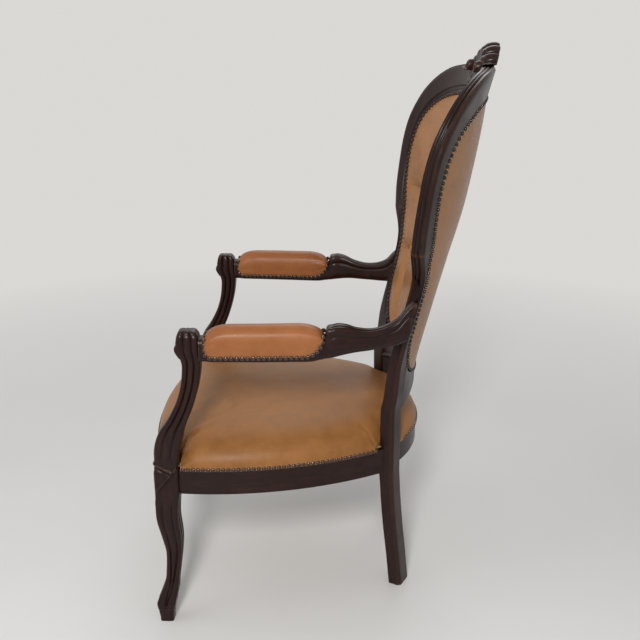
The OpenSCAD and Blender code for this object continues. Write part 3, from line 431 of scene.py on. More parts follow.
def arm_support(side):
    rings = []
    for h, y, dx, depth, width in curve(SUPPORT_ROWS, 16):
        # the lowest 40 mm turn into the leg's square
        k = max(0, 1 - h / 40)
        x = (ARM_HALF + dx) * (1 - k) + LEG_X * k
        y = y * (1 - k) + LEG_Y * k
        sx, sy = width * (1 - k) + LEG_S * k, depth * (1 - k) + LEG_S * k
        path = rounded(120, 2, 0.36)
        p = path * [sx / 2, sy / 2]
        face = face_share(np.abs(path[:, 0]), path[:, 1], 0.75, 0.97, 0.85)
        cut = 3 * smooth(8, 34, h)
        p[:, 0] -= np.sign(p[:, 0]) * face * flutes(path[:, 1], (-0.38, 0.32), 0.11, cut)
        front = face_share(-path[:, 1], path[:, 0], 0.75, 0.97, 0.85)
        p[:, 1] += front * flutes(path[:, 0], (-0.4, 0.4), 0.13, 1.5 * smooth(20, 50, h))
        # scroll of the hand: a knob that swells forward under the top, with a curl on either side
        p[:, 1] -= 4.5 * ridge(h, 255, 15) * smooth(0.3, 0.9, -path[:, 1])
        curl = ridge(h, 268, 2.2) + 0.8 * ridge(h, 238, 2.6)
        p[:, 1] += 1.8 * curl * smooth(0.2, 0.7, -path[:, 1])
        # crossing ribbons of the knee collar, and their end on the front
        fade = 1 - smooth(12, 26, h)
        p[:, 0] += ribbons(LEG_TOP + h, p[:, 1]) * face * (p[:, 0] > 0) * fade
        p[:, 1] -= 2.6 * ridge(LEG_TOP + h, 361, 3.2) * front * fade
        z = LEG_TOP + h * (HAND_TOP - LEG_TOP) / SUPPORT_ROWS[-1][0]
        rings.append(np.column_stack([x + p[:, 0], y + p[:, 1], np.full(120, z)]))
    # closes the top in a soft dome
    last = np.array(rings[-1])
    mid = last.mean(axis=0)
    for grow, up in ((0.93, 1.6), (0.8, 2.8), (0.6, 3.4), (0.3, 3.6)):
        rings.append((last - mid) * grow + mid + [0, 0, up])
    piece("arm_support_carved", loft(rings), WOOD, ["arm_support"], side=side)


# Arm: y, shift from ARM_HALF, low and high edge over ARM_Z, share of ARM_W, and tilt
ARM_ROWS = np.array([
    (-212, 0, 2, 22, 1.05, 0), (-100, -4, 1, 22, 1.1, 0), (0, -11, 0, 22, 1.08, 0),
    (20, -14, 3, 22, 1, 0), (25, -15, 4, 60, 0.95, 0), (38, -16, 6, 66, 0.95, 0),
    (49, -19, 8, 67, 0.95, 0), (64, -23, 10, 64, 0.9, 0), (82, -29, 11, 57, 0.84, 0),
    (107, -38, 11, 52, 0.8, 0), (128, -47, 12, 53, 0.8, 0), (147, -56, 13, 58, 0.82, 0),
    (158, -61, 14, 66, 0.84, 0.08), (164, -65, 15, 80, 0.84, 0.16), (170, -70, 16, 96, 0.84, 0.25)
], float)


def pad_lift(y):
    """How far the pad's underside rises at its rounded ends."""
    ends = ((15, y - PAD_FRONT), (38, PAD_BACK - y))
    return np.maximum(*(r - np.sqrt(r * r - np.clip(r - close, 0, r) ** 2) for r, close in ends))


def pad_blunt(y):
    """Share of the pad's full width left towards its ends."""
    close = np.minimum(y - PAD_FRONT, PAD_BACK - y)
    return 0.72 + 0.28 * np.sqrt(1 - np.clip(1 - close / 14, 0, 1) ** 2)


def arm(side):
    front = resampled(ARM_ROWS[:4], ARM_ROWS[:4, 0], np.linspace(ARM_ROWS[0, 0], 19.5, 90))
    # cups that take the rounded ends of the pad, the front one deeper
    front[:, 3] += pad_lift(front[:, 0]) * np.where(front[:, 0] < PAD_MID, 1.7, 1)
    # the last row closes the joint over the end of its dowel
    rows = np.vstack([front, curve(ARM_ROWS[3:], 14)[6:], (180, -72, 20, 93, 0.8, 0.25)])
    rings = []
    for y, dx, low, high, wide, tilt in rows:
        h, w = high - low, ARM_W * wide
        path = rounded(88, 2, 2 * min(11, h * 0.45) / max(h, w) * 1.1)
        p = path * [w / 2, h / 2]
        back_of_pad = smooth(24, 40, y)
        # hollows under the upper edge and over the lower one, which run up into the stile
        side_face = smooth(0.75, 0.97, np.abs(path[:, 0])) * back_of_pad
        cut = 2.8 * ridge(path[:, 1], 0.4, 0.11) + 1.2 * ridge(path[:, 1], -0.74, 0.08)
        p[:, 0] -= np.sign(p[:, 0]) * side_face * cut
        top_face = smooth(0.8, 0.98, path[:, 1]) * back_of_pad
        p[:, 1] -= top_face * flutes(path[:, 0], (-0.42, 0.42), 0.16, 2.2)
        rise = h / 2 + p[:, 1]
        ring = [ARM_HALF + dx + p[:, 0], y + tilt * rise, ARM_Z + low + rise]
        rings.append(np.column_stack(ring))
    piece("arm_carved", loft(rings), WOOD_LONG, ["arm"], side=side)


# Crest: a scalloped shell with scroll knobs, and leaves on the arch under it

def blade(points, width, height, depth=0):
    """A carved leaf along x, z points on the front of the back."""
    path = curve(points, 10)
    last = len(path) - 1
    u, v = np.cos(circle(18)), np.sin(circle(18))
    rings = []
    for i, (x, z) in enumerate(path):
        t = i / last
        ahead = path[min(i + 1, last)] - path[max(i - 1, 0)]
        q = np.array([-ahead[1], ahead[0]]) / np.linalg.norm(ahead)
        w = width * sin(pi * min(1, t * 0.93 + 0.07)) ** 0.7 + 0.3
        h = height * sin(pi * min(1, t * 0.9 + 0.1)) ** 0.6 + 0.2
        lift = np.maximum(0, v) * h * (1 - 0.35 * ridge(u, 0, 0.22)) - np.maximum(0, -v) * 2.5
        rings.append(back_pt(x + q[0] * u * w, z + q[1] * u * w, depth - lift))
    return loft(rings)


def merged(parts):
    verts, faces, start = [], [], 0
    for v, f in parts:
        verts.append(v)
        faces += [tuple(k + start for k in face) for face in f]
        start += len(v)
    return np.vstack(verts), faces


def mirrored(part):
    v, f = part
    return v * MIRROR, [face[::-1] for face in f]


CREST_Z = 1066
# Outline of the shell: degrees from straight up, and distance from its middle
CREST_EDGE = np.array([
    (0, 74), (24, 72), (46, 72), (66, 80), (73, 66), (79, 46), (90, 22), (110, 9), (180, 7)
], float)
# Rings of a scroll knob: radius, and depth behind the back's surface
KNOB = [
    (9.5, 1), (10.6, -5), (11, -12), (10, -15), (8, -16), (6.8, -14.8), (5.6, -15.2), (4, -17),
    (2, -18), (0.4, -18.2)
]
# Leaves of one side: x, z points, width and height
LEAVES = [
    ([(6, 1066), (22, 1062), (36, 1054), (46, 1050)], 6, 5.5),
    ([(10, 1074), (32, 1074), (54, 1068), (70, 1072)], 6.5, 6),
    ([(14, 1084), (40, 1088), (62, 1084), (88, 1088)], 6, 5.5),
    ([(5, 1060), (14, 1053), (24, 1047)], 4.5, 4.5),
    ([(60, 1092), (80, 1095), (104, 1090), (124, 1091)], 4, 4)
]


def crest():
    a = np.radians(np.arange(-180, 180, 1.5))
    deg = np.abs(np.degrees(a))
    rib = np.abs(np.cos(pi * deg / 22)) ** 0.35
    fan = 1 - smooth(74, 86, deg)
    edge = np.interp(deg, *CREST_EDGE.T) * (1 - 0.2 * fan * (1 - rib))

    def spot(r):
        return r * edge * np.sin(a), CREST_Z + r * edge * np.cos(a)

    def rear(r):
        """Depth of the rear face: on the arch's front, and through to its rear over its top."""
        z = spot(r)[1]
        return np.where(z < 1101.8, -0.8, FRAME_T - 1 + (CHAIR_H - z) * 0.02)

    rings = []
    for r in np.concatenate([[0.02], np.linspace(0.08, 0.9, 16), [0.94, 0.97, 0.99, 1]]):
        lift = 5.2 + 3.2 * smooth(0.15, 0.85, r) * rib * fan + 3.5 * ridge(r, 0, 0.22)
        lift = lift - 2.2 * ridge(r, 0.3, 0.07) * fan
        rings.append(back_pt(*spot(r), -lift * (1 - smooth(0.88, 1, r) ** 2 * 0.75)))
    for share in (0.12, 0.3, 0.5, 0.7, 0.88, 0.97):
        swell = 1 + 0.05 * fan * sin(pi * share) ** 0.7
        rings.append(back_pt(*spot(swell), -1.2 + (rear(1) + 1.2) * share))
    for r in (0.93, 0.7, 0.35, 0.04):
        rings.append(back_pt(*spot(r), np.minimum(rear(r), rear(1))))
    ang = circle(32)
    knob = loft([back_pt(54 + r * np.cos(ang), 1099 + r * np.sin(ang), d) for r, d in KNOB])
    parts = [loft(rings), knob, mirrored(knob), blade([(0, 1064), (0, 1054), (0, 1045)], 7, 5)]
    for points, width, height in LEAVES:
        leaf = blade(points, width, height, 1)
        parts += [leaf, mirrored(leaf)]
    piece("crest_shell_carved", merged(parts), WOOD, ["crest_carving"])


# Upholstery

FAR = 2000.0


def seat_radius(a):
    """Distance from the seat's middle to its edge along each direction."""
    def ray(cx, cy, r):
        dx, dy = SEAT_MID[0] - cx, SEAT_MID[1] - cy
        b = dx * np.cos(a) + dy * np.sin(a)
        return -b + np.sqrt(np.maximum(b * b - dx * dx - dy * dy + r * r, 0))
    rear = np.where(np.sin(a) > 0, ray(0, REAR_CY, REAR_BOW), FAR)
    return np.minimum.reduce([ray(0, FRONT_BOW - SEAT_FRONT, FRONT_BOW),
                              ray(SIDE_CX, SIDE_CY, SIDE_BOW),
                              ray(-SIDE_CX, SIDE_CY, SIDE_BOW), rear])


def block_gap(x, y):
    """Distance in plan to the nearest leg or stile block, on either side."""
    x = np.abs(x)
    fx = np.maximum(LEG_X - LEG_S / 2 - x, 0)
    fy = np.maximum(y - (LEG_Y + LEG_S / 2 + 4), 0)
    front = np.hypot(fx, fy)
    dx, dy = x - STILE_X, y - STILE_Y
    along = dx * STILE_IN[0] + dy * STILE_IN[1]
    deep = dx * STILE_BACK[0] + dy * STILE_BACK[1]
    rx = np.maximum(np.maximum(-along, along - STILE_W), 0)
    ry = np.maximum(np.maximum(-deep, deep - STILE_T), 0)
    return np.minimum(front, np.hypot(rx, ry))


def line_gap(x, y, a, b):
    """Distance to the segment from a to b, and how far along it the nearest point is."""
    a, b = np.array(a, float), np.array(b, float)
    d = b - a
    t = np.clip(((x - a[0]) * d[0] + (y - a[1]) * d[1]) / (d @ d), 0, 1)
    return np.hypot(x - a[0] - d[0] * t, y - a[1] - d[1] * t), t


# Creases of the seat leather on one side: start, end, depth and half width
SEAT_CREASES = [
    ((247, -258), (178, -190), 5, 3.2), ((262, -262), (214, -222), 3, 3),
    ((270, -258), (252, -205), 2, 3), ((206, 132), (172, 92), 2.6, 3.5),
    ((196, 128), (196, 84), 2, 3), ((232, 118), (222, 80), 1.6, 3),
    ((246, -290), (200, -268), 2.2, 4)
]


def notch_radius(a):
    """Distance from the seat's middle to the leg or stile block along each direction."""
    reach = np.full(len(a), FAR)
    for s in (1, -1):
        x0, y1 = s * (LEG_X - LEG_S / 2 - 1), LEG_Y + LEG_S / 2 + 4
        blocks = [((s, 0), s * x0), ((0, -1), -y1)]
        corner = np.array([s * STILE_X, STILE_Y])
        turn_in = STILE_IN[:2] * [s, 1]
        turn_back = STILE_BACK[:2] * [s, 1]
        stile = [(-turn_in, -(corner @ turn_in) - STILE_W - 1), (turn_back, corner @ turn_back - 1),
                 (-turn_back, -(corner @ turn_back) - STILE_T - 1)]
        for walls in (blocks, stile):
            first, last = np.zeros(len(a)), np.full(len(a), FAR)
            for normal, level in walls:
                speed = np.cos(a) * normal[0] + np.sin(a) * normal[1]
                room = level - SEAT_MID @ np.array(normal)
                level_ray = np.abs(speed) < 1e-9
                hit = np.where(level_ray, -1e9 * room, room / np.where(level_ray, 1, speed))
                first = np.where(speed > 0, np.maximum(first, hit), first)
                last = np.where(speed > 0, last, np.minimum(last, hit))
            reach = np.where((first < last) & (first > 0), np.minimum(reach, first), reach)
    return reach


def seat_directions():
    """Even directions from the seat's middle, and a pair at each corner of its notches."""
    fine = np.arange(0, 2 * pi, pi / 7200)
    notch = notch_radius(fine)
    spare = seat_radius(fine) - notch
    bend = np.abs(np.diff(np.sign(spare))) > 0
    inner = (spare[1:-1] > 0) & (np.abs(np.diff(notch, 2)) > 0.002)
    a = np.concatenate([circle(336), fine[:-1][bend], fine[1:][bend], fine[1:-1][inner]])
    return np.unique(np.round(a % (2 * pi - 1e-5), 5))


def seat():
    a = seat_directions()
    full = seat_radius(a)
    edge = np.minimum(full, notch_radius(a))
    # 1 along the nailed edge, 0 at the legs and stiles
    free = (edge >= full - 1e-6).astype(float)
    out = np.column_stack([np.cos(a), np.sin(a)])
    rings = []
    shares = np.concatenate([np.linspace(0.02, 0.7, 26), 1 - 0.28 * np.linspace(1, 0, 44) ** 1.6])
    for share in shares:
        x, y = (SEAT_MID + share * edge[:, None] * out).T
        r = share * edge / full
        wall = np.maximum(0, 1 - r ** 10) ** 0.6
        z = RAIL_TOP + 7 + (SEAT_CROWN - 7) * (0.34 * (1 - r * r) + 0.66 * wall)
        z = z + 1.3 * np.sin(pi * r) * np.sin(3 * a + 1.1)
        # drawn down beside the legs and stiles
        z = z - np.minimum(18, z - RAIL_TOP - 5) * np.exp(-(block_gap(x, y) / 12) ** 1.3)
        for start, end, deep, wide in SEAT_CREASES:
            for s in (1, -1):
                gap, t = line_gap(s * x, y, start, end)
                z = z - deep * (1 - t) ** 0.8 * ridge(gap, 0, wide)
                z = z + deep * 0.45 * (1 - t) * ridge(gap, 2.4 * wide, wide)
        rings.append(np.column_stack([x, y, z]))
    # the hem, with a slight pull at each nail, down to the rail and back under the cushion
    pull = 0.35 * np.sin(a * 58) * free
    for z, grow in ((4.5, 0.9), (1, 1.1), (-2.6, 1.2), (-3.4, 0.7), (-3, 0.1), (0.3, -0.1),
                    (0.4, -3.5), (4.5, -8)):
        p = SEAT_MID + out * (edge + grow * free - (1 - free) * max(0, -grow))[:, None]
        level = RAIL_TOP + np.where(free > 0, z, max(z, 0.5)) + pull
        rings.append(np.column_stack([p, level]))
    p = SEAT_MID + out * (edge * 0.5)[:, None]
    rings.append(np.column_stack([p, np.full(len(a), RAIL_TOP + 4.5)]))
    obj = piece("seat_cushion_leather", loft(rings), SEAT_HIDE,
                ["seat_cover", "seat_stuffing"], sharp=50)


# Buttons of one side, and the pleats between them and out to the edge
BUTTONS = [(70, 896), (140, 828), (0, 828), (70, 760), (125, 692), (0, 692)]
ALL_BUTTONS = [(s * x, z) for x, z in BUTTONS for s in ((1,) if x == 0 else (1, -1))]
LINKS = [(0, 1), (0, 2), (1, 3), (2, 3), (3, 4), (3, 5)]
ENDS = [(0, 78, 1034), (1, 218, 826), (4, 178, 688), (4, 104, 506), (5, 0, 476)]
PLEATS = [((s * p[0], p[1]), (s * q[0], q[1])) for s in (1, -1)
          for p, q in [(BUTTONS[i], BUTTONS[j]) for i, j in LINKS]
          + [(BUTTONS[i], (x, z)) for i, x, z in ENDS]]
PANEL_MID = (OPENING[0, 1] + OPENING[-1, 1]) / 2
PANEL_HALF = (OPENING[0, 1] - OPENING[-1, 1]) / 2
PANEL_SINK = 1.5


def tuft(x, z):
    """Depth of the tufting: soft hollows, sharp pleats and the pinch of each button."""
    b = np.min([np.hypot(x - p[0], z - p[1]) for p in ALL_BUTTONS], axis=0)
    s = np.min([line_gap(x, z, p, q)[0] for p, q in PLEATS], axis=0)
    soft = TUFT_D * np.maximum(np.exp(-b * b / 700), 0.85 * np.exp(-s * s / 260))
    near = np.exp(-b / 60)
    fold = (1 + 2.4 * near) * np.exp(-np.abs(s) / 2.4)
    pinch = 3 * np.exp(-b * b / 120)
    return soft + fold + pinch


# Slack folds of the back leather: start, end, depth and half width
BACK_FOLDS = [
    ((150, 826), (212, 824), 1.6, 2.2), ((144, 690), (172, 684), 1.6, 2.2),
    ((130, 690), (117, 634), 2.2, 3.2), ((117, 634), (106, 600), 2.2, 3.2),
    ((106, 600), (100, 512), 2, 3.2), ((188, 856), (132, 955), -1.6, 9),
    ((180, 797), (146, 704), -1.6, 8), ((30, 1030), (62, 910), 1.2, 3),
    ((112, 1012), (84, 912), 1.1, 3), ((196, 900), (150, 838), 1.2, 2.6),
    ((200, 780), (150, 820), 1.3, 2.6), ((168, 640), (134, 684), 1.2, 2.4),
    ((50, 512), (10, 676), 1.2, 3), ((84, 520), (30, 640), 1, 3)
]


def front_crown(v, w):
    """Height of the back's leather, from shares v and w of the way to its edges."""
    return (1 - np.abs(v) ** 4) * (1 - np.abs(w) ** 6) * BACK_CROWN


def front_depth(x, z, v, w):
    fade = np.minimum(1, (1 - np.abs(v) ** 10) * (1 - np.abs(w) ** 12))
    d = PANEL_SINK - front_crown(v, w) + fade * tuft(x, z)
    for start, end, deep, wide in BACK_FOLDS:
        for s in (1, -1):
            gap, t = line_gap(s * x, z, start, end)
            ends = np.sin(pi * np.clip(0.15 + 0.7 * t, 0, 1))
            d = d + fade * deep * ends * ridge(gap, 0, wide)
    return d


def rear_depth(x, z, v, w):
    return FRAME_T + (1 - np.abs(v) ** 2.6) * (1 - np.abs(w) ** 4) * REAR_CROWN


def panel_grid(rows, cols, depth):
    """Points of the back's upholstery at a depth, which may be a function of the place."""
    t = np.linspace(0, len(OPENING) - 1, rows)
    v = np.linspace(-1, 1, cols)
    v = 0.6 * v + 0.4 * np.sin(v * pi / 2)
    out = []
    for x0, z in resampled(OPENING, np.arange(len(OPENING)), t):
        x = max(x0 - 0.3, 0.02) * v
        d = depth(x, z, v, (z - PANEL_MID) / PANEL_HALF) if callable(depth) else depth
        out.append(back_pt(x, z, d))
    return np.array(out)


def cushion(front, rear):
    """Closed solid between two grids of the same size."""
    m, n = front.shape[:2]
    verts = np.vstack([front.reshape(-1, 3), rear.reshape(-1, 3)])
    faces = grid_faces(m, n, wrap=False)
    faces += [f[::-1] for f in grid_faces(m, n, wrap=False, start=m * n)]
    rim = [i * n for i in range(m)] + [(m - 1) * n + j for j in range(1, n)]
    rim += [i * n + n - 1 for i in range(m - 2, -1, -1)] + list(range(n - 2, 0, -1))
    for p, q in zip(rim, rim[1:] + rim[:1]):
        faces.append((p, q, m * n + q, m * n + p))
    return verts, faces


def back_front():
    part = cushion(panel_grid(220, 176, front_depth), panel_grid(220, 176, 6))
    obj = piece("back_cushion_tufted", part, BACK_HIDE,
                ["back_cover_front", "back_stuffing"], sharp=60)


def back_rear():
    part = cushion(panel_grid(120, 64, 19.6), panel_grid(120, 64, rear_depth))
    obj = piece("back_panel_rear_leather", part, BACK_HIDE,
                ["back_cover_rear", "back_lining"], sharp=60)


# Rings of a domed head: shares of its radius and of its height
DOME = [
    (0.97, -0.5), (1, 0.25), (0.93, 0.5), (0.78, 0.74), (0.55, 0.91), (0.28, 0.985)
]


def domes(name, spots, radius, height, material, node):
    """Domed heads, each spot being a place and the direction that the head is turned to."""
    rng = np.random.default_rng(len(spots) * 7 + int(radius * 10))
    ang = circle(14)[:, None]
    parts = []
    for p, o in spots:
        o = unit(np.array(o) + rng.normal(0, 0.035, 3))
        side = unit(np.cross(o, [0.3, 0.2, 0.9]))
        ring = np.cos(ang) * side + np.sin(ang) * np.cross(side, o)
        size = radius * (1 + rng.normal(0, 0.012))
        parts.append(loft([np.array(p) + o * height * h + size * r * ring for r, h in DOME]))
    piece(name, merged(parts), material, [node], sharp=65)


def back_buttons():
    spots = []
    for x, z in ALL_BUTTONS:
        v, w = x / opening_x(z), (z - PANEL_MID) / PANEL_HALF
        h = float(hollow(x, z))
        spots.append((back_pt(x, z, PANEL_SINK - front_crown(v, w) + TUFT_D + 0.5),
                      [-sin(h), -cos(h), 0.1]))
    domes("back_buttons_covered", spots, BUTTON_D / 2, 5.2, BACK_HIDE,
          "back_buttons")


def seat_nails():
    spots = []

    def arc(cx, cy, r, a0, a1, s):
        n = floor(abs(a1 - a0) * r / PITCH)
        for k in range(n + 1):
            a = a0 + (a1 - a0) * k / n
            o = np.array([cos(a), sin(a)])
            p = np.array([cx, cy]) + o * (r + 1)
            spots.append(([s * p[0], p[1], RAIL_TOP], [s * o[0], o[1], 0]))

    # the rows stop 9 mm before the legs and stiles
    front = asin((LEG_X - LEG_S / 2 - 9) / FRONT_BOW)
    rear = asin((STILE_X - STILE_W - 9) / REAR_BOW)
    arc(0, FRONT_BOW - SEAT_FRONT, FRONT_BOW, -pi / 2 - front, -pi / 2 + front, 1)
    arc(0, REAR_CY, REAR_BOW, pi / 2 - rear, pi / 2 + rear, 1)
    for s in (1, -1):
        arc(SIDE_CX, SIDE_CY, SIDE_BOW, asin((LEG_Y + LEG_S / 2 + 9 - SIDE_CY) / SIDE_BOW),
            asin((STILE_Y - 7.5 - SIDE_CY) / SIDE_BOW), s)
    domes("seat_nail_heads", spots, NAIL_R, NAIL_H, BRASS, "seat_nails")


def nail_places(rows, run):
    """The rows at even nail distances along a way, run being the way up to each."""
    return resampled(rows, run, np.linspace(0, run[-1], floor(run[-1] / PITCH) + 1))


def back_nails(name, node, depth, turn):
    """Nails round the opening on both sides, turned to the rear (1) or to the front (-1)."""
    spots = []
    places = nail_places(OPENING, travelled(OPENING))
    for k, (x, z) in enumerate(places):
        for s in (1,) if k in (0, len(places) - 1) else (1, -1):
            h = float(hollow(s * x, z))
            spots.append((back_pt(s * x, z, depth), [turn * sin(h), turn * cos(h), -0.22 * turn]))
    domes(name, spots, BACK_NAIL_R, BACK_NAIL_H, OLD_BRASS, node)


# Arm pads

def arm_x(y):
    """The arm's middle line."""
    return ARM_HALF + np.interp(y, *ARM_ROWS.T[:2])


def arm_pad(side):
    rings = []
    for t in 0.5 - 0.5 * np.cos(np.linspace(0, pi, 111)):
        y = PAD_FRONT + PAD_L * t
        close = min(t, 1 - t) * PAD_L
        blunt, lift = float(pad_blunt(y)), float(pad_lift(y))
        shoulder = (1 - max(0, 1 - close / 58) ** 2.8) ** 0.6
        base, w = (PAD_GRIP + 3.6) * blunt, PAD_W / 2 * blunt
        h = PAD_H - 26 + 26 * shoulder - lift
        half = curve([(0, -base), (6, -base - 1.2), (h * 0.25, -w * 0.97), (h * 0.45, -w),
                      (h * 0.63, -w * 0.97), (h * 0.8, -w * 0.84), (h * 0.93, -w * 0.58),
                      (h * 0.99, -w * 0.28), (h, 0)], 6)
        ring = np.vstack([half, half[-2::-1] * [1, -1]])
        # gathers that fan out from the nailed ends over the shoulders of the pad
        u = np.linspace(-1, 1, len(ring))
        gather = 1.5 * exp(-close / 15) * (1 - exp(-close / 3))
        fold = np.abs(np.sin(u * 12.5 + 0.7 * sin(u[3] * 9 + t * 7))) ** 0.5
        pull = 1.9 * gather * (fold - 0.4) * smooth(0, 0.25, 1 - np.abs(u))
        centre = np.array([h * 0.4, 0])
        ring = centre + (ring - centre) * (1 + pull / np.maximum(
            np.linalg.norm(ring - centre, axis=1), 8))[:, None]
        z = PAD_Z + lift + np.maximum(ring[:, 0], 0)
        rings.append(np.column_stack([arm_x(y) + ring[:, 1], np.full(len(ring), y), z]))
    obj = piece("arm_pad_leather", loft(rings), ARM_HIDE,
                ["arm_pad_cover", "arm_pad_stuffing"], sharp=60, side=side)


def arm_nails(side, sign):
    run = np.linspace(PAD_FRONT + 0.6, PAD_BACK - 0.6, 400)
    rows = np.column_stack([arm_x(run), run, PAD_Z + pad_lift(run),
                            (PAD_GRIP + 4.4) * pad_blunt(run)])
    # the rows of nails climb both ends of the pad
    rows = np.vstack([rows[0] + [0, 0, 24, 0], rows, rows[-1] + [0, 0, 6, 0]])
    spots = []
    for x, y, z, off in nail_places(rows, travelled(rows[:, 1:])):
        end = 2.5 * (1 - pad_blunt(y)) * (-1 if y < PAD_MID else 1)
        spots += [([sign * (x + s * off), y, z], [sign * s, end, 0]) for s in (1, -1)]
    domes("arm_nail_heads_" + side, spots, NAIL_R, NAIL_H, BRASS,
          "arm_nails_" + side)


# Materials

class Tree:
    """Shader nodes of a material or of the world, added one by one."""

    def __init__(self, owner):
        owner.use_nodes = True
        self.t = owner.node_tree

    def node(self, kind, links=None, **props):
        n = self.t.nodes.new("ShaderNode" + kind)
        for key, value in props.items():
            setattr(n, key, value)
        for key, value in (links or {}).items():
            self.put(n, key, value)
        return n

    def put(self, n, key, value):
        socket = n.inputs[key]
        if isinstance(value, bpy.types.NodeSocket):
            self.t.links.new(value, socket)
        else:
            socket.default_value = value

    def sum(self, a, b, how="ADD"):
        n = self.node("Math", operation=how)
        self.put(n, 0, a)
        self.put(n, 1, b)
        return n.outputs[0]

    def times(self, a, b):
        return self.sum(a, b, "MULTIPLY")

    def seen_directly(self):
        """1 for camera, glossy and transmission rays, which see the backdrop's own colour."""
        rays = self.node("LightPath").outputs
        seen = rays["Is Camera Ray"]
        for kind in ("Is Glossy Ray", "Is Transmission Ray"):
            seen = self.sum(seen, rays[kind], "MAXIMUM")
        return seen


class Look(Tree):
    """A procedural material on object coordinates, in metres."""

    def __init__(self, name):
        self.m = bpy.data.materials.new(name)
        super().__init__(self.m)
        self.bsdf = self.t.nodes["Principled BSDF"]
        self.coords = self.node("TexCoord").outputs["Object"]

    def scaled(self, scale, turn=(0, 0, 0)):
        links = {"Vector": self.coords, "Scale": scale, "Rotation": turn}
        return self.node("Mapping", links).outputs[0]

    def noise(self, scale, detail=4, rough=0.55, warp=0, at=None):
        links = {"Vector": at or self.coords, "Scale": scale, "Detail": detail,
                 "Roughness": rough, "Distortion": warp}
        return self.node("TexNoise", links).outputs["Fac"]

    def cells(self, scale, feature, at=None):
        links = {"Vector": at or self.coords, "Scale": scale}
        return self.node("TexVoronoi", links, feature=feature).outputs["Distance"]

    def pointed(self):
        """Over 0.5 on edges and under it in hollows."""
        return self.node("NewGeometry").outputs["Pointiness"]

    def span(self, value, low, high, to_low=0, to_high=1):
        links = {"Value": value, "From Min": low, "From Max": high, "To Min": to_low,
                 "To Max": to_high}
        return self.node("MapRange", links).outputs[0]

    def ramp(self, value, stops):
        n = self.node("ValToRGB", {"Fac": value})
        band = n.color_ramp.elements
        while len(band) < len(stops):
            band.new(0.5)
        for e, (place, colour) in zip(band, stops):
            e.position = place
            e.color = (*colour, 1)
        return n.outputs["Color"]

    def blend(self, amount, a, b):
        n = self.node("Mix", data_type="RGBA")
        self.put(n, 0, amount)
        for key, value in ((6, a), (7, b)):
            if not isinstance(value, bpy.types.NodeSocket):
                value = (*value, 1)
            self.put(n, key, value)
        return n.outputs[2]

    def bump(self, height, depth, strength, under=None):
        links = {"Height": height, "Distance": depth, "Strength": strength}
        if under is not None:
            links["Normal"] = under
        return self.node("Bump", links).outputs["Normal"]

    def done(self, **sockets):
        for key, value in sockets.items():
            self.put(self.bsdf, key.replace("_", " "), value)
        return self.m


def wood_look(name, stretch, carved=True):
    """Dark stain with the grain stretched one way, carved edges rubbed pale, partly wear and partly
    a painted highlight, and painted shade in the hollows.
    """
    dark, light = (0.01, 0.0033, 0.0026), (0.033, 0.0098, 0.0066)
    k = Look(name)
    at = k.scaled(stretch)
    grain = k.noise(2.6, 9, 0.62, 0.7, at)
    pores = k.noise(9, 6, 0.7, 0.2, at)
    cloud = k.noise(9, 4, 0.5)
    mid = tuple((a + b) / 2.3 for a, b in zip(dark, light))
    tone = k.ramp(grain, [(0.3, dark), (0.52, mid), (0.72, light)])
    tone = k.blend(k.span(cloud, 0.35, 0.7, 0, 0.5), tone, dark)
    speck = k.noise(140, 5, 0.7)
    if carved:
        # carved edges turn pale: partly real wear, partly a painted highlight on the ridges
        edge = k.pointed()
        wear_and_highlight = k.times(k.span(edge, 0.525, 0.6), k.span(speck, 0.38, 0.62, 0.25, 1))
        tone = k.blend(k.times(wear_and_highlight, 0.55), tone, (0.17, 0.072, 0.042))
        # painted shade: the hollows of the carving turned nearly black
        tone = k.blend(k.span(edge, 0.49, 0.42), tone, (0.005, 0.0022, 0.002))
    else:
        wear_and_highlight = k.span(speck, 0.6, 0.8)
    shine = k.span(k.noise(22, 5, 0.6), 0.3, 0.7, 0.27, 0.4)
    shine = k.sum(shine, k.times(wear_and_highlight, 0.12))
    normal = k.bump(pores, 0.00018, 0.5)
    normal = k.bump(k.noise(34, 4, 0.5), 0.0005, 0.5, normal)
    return k.done(Base_Color=tone, Roughness=shine, Normal=normal, Specular_IOR_Level=0.2,
                  Coat_Weight=0.06, Coat_Roughness=0.2)


def hide_look(name, deep, mid, pale, blotch, shine):
    """Pebbled leather, with painted shade in its hollows, and its folds rubbed pale, partly wear
    and partly a painted highlight.
    """
    # pale colour of real scuffs, and of the painted highlight on the ridges of folds
    wear_and_highlight = (0.5, 0.27, 0.12)
    k = Look(name)
    broad = k.noise(4.2, 5, 0.6, 0.5)
    fine = k.noise(26, 6, 0.65, 0.3)
    tone = k.ramp(k.sum(k.times(broad, 0.62), k.times(fine, 0.38)),
                  [(0.3, deep), (0.5, mid), (0.72, pale)])
    spots = k.noise(60, 6, 0.7)
    tone = k.blend(k.span(spots, 0.56, 0.72, 0, 0.3 * blotch), tone, deep)
    scuff = k.noise(1, 7, 0.75, 1.5, k.scaled((14, 30, 22), (0.4, 0.2, 0.7)))
    tone = k.blend(k.span(scuff, 0.6, 0.74, 0, 0.42 * blotch), tone, wear_and_highlight)
    edge = k.pointed()
    # painted shade darkens the hollows and creases
    tone = k.blend(k.span(edge, 0.485, 0.44, 0, 0.75), tone, tuple(c * 0.42 for c in deep))
    # the ridges of folds turn pale: partly real wear, partly a painted highlight
    tone = k.blend(k.span(edge, 0.52, 0.57, 0, 0.5), tone, wear_and_highlight)
    pebble = k.cells(900, "SMOOTH_F1")
    crease = k.cells(210, "DISTANCE_TO_EDGE", k.scaled((1, 1, 1.3)))
    normal = k.bump(pebble, 0.00022, 0.45)
    normal = k.bump(k.span(crease, 0, 0.06), 0.00016, 0.5, normal)
    normal = k.bump(k.noise(55, 5, 0.6), 0.0007, 0.35, normal)
    gloss = k.span(fine, 0.3, 0.7, *shine)
    return k.done(Base_Color=tone, Roughness=gloss, Normal=normal, Specular_IOR_Level=0.2)


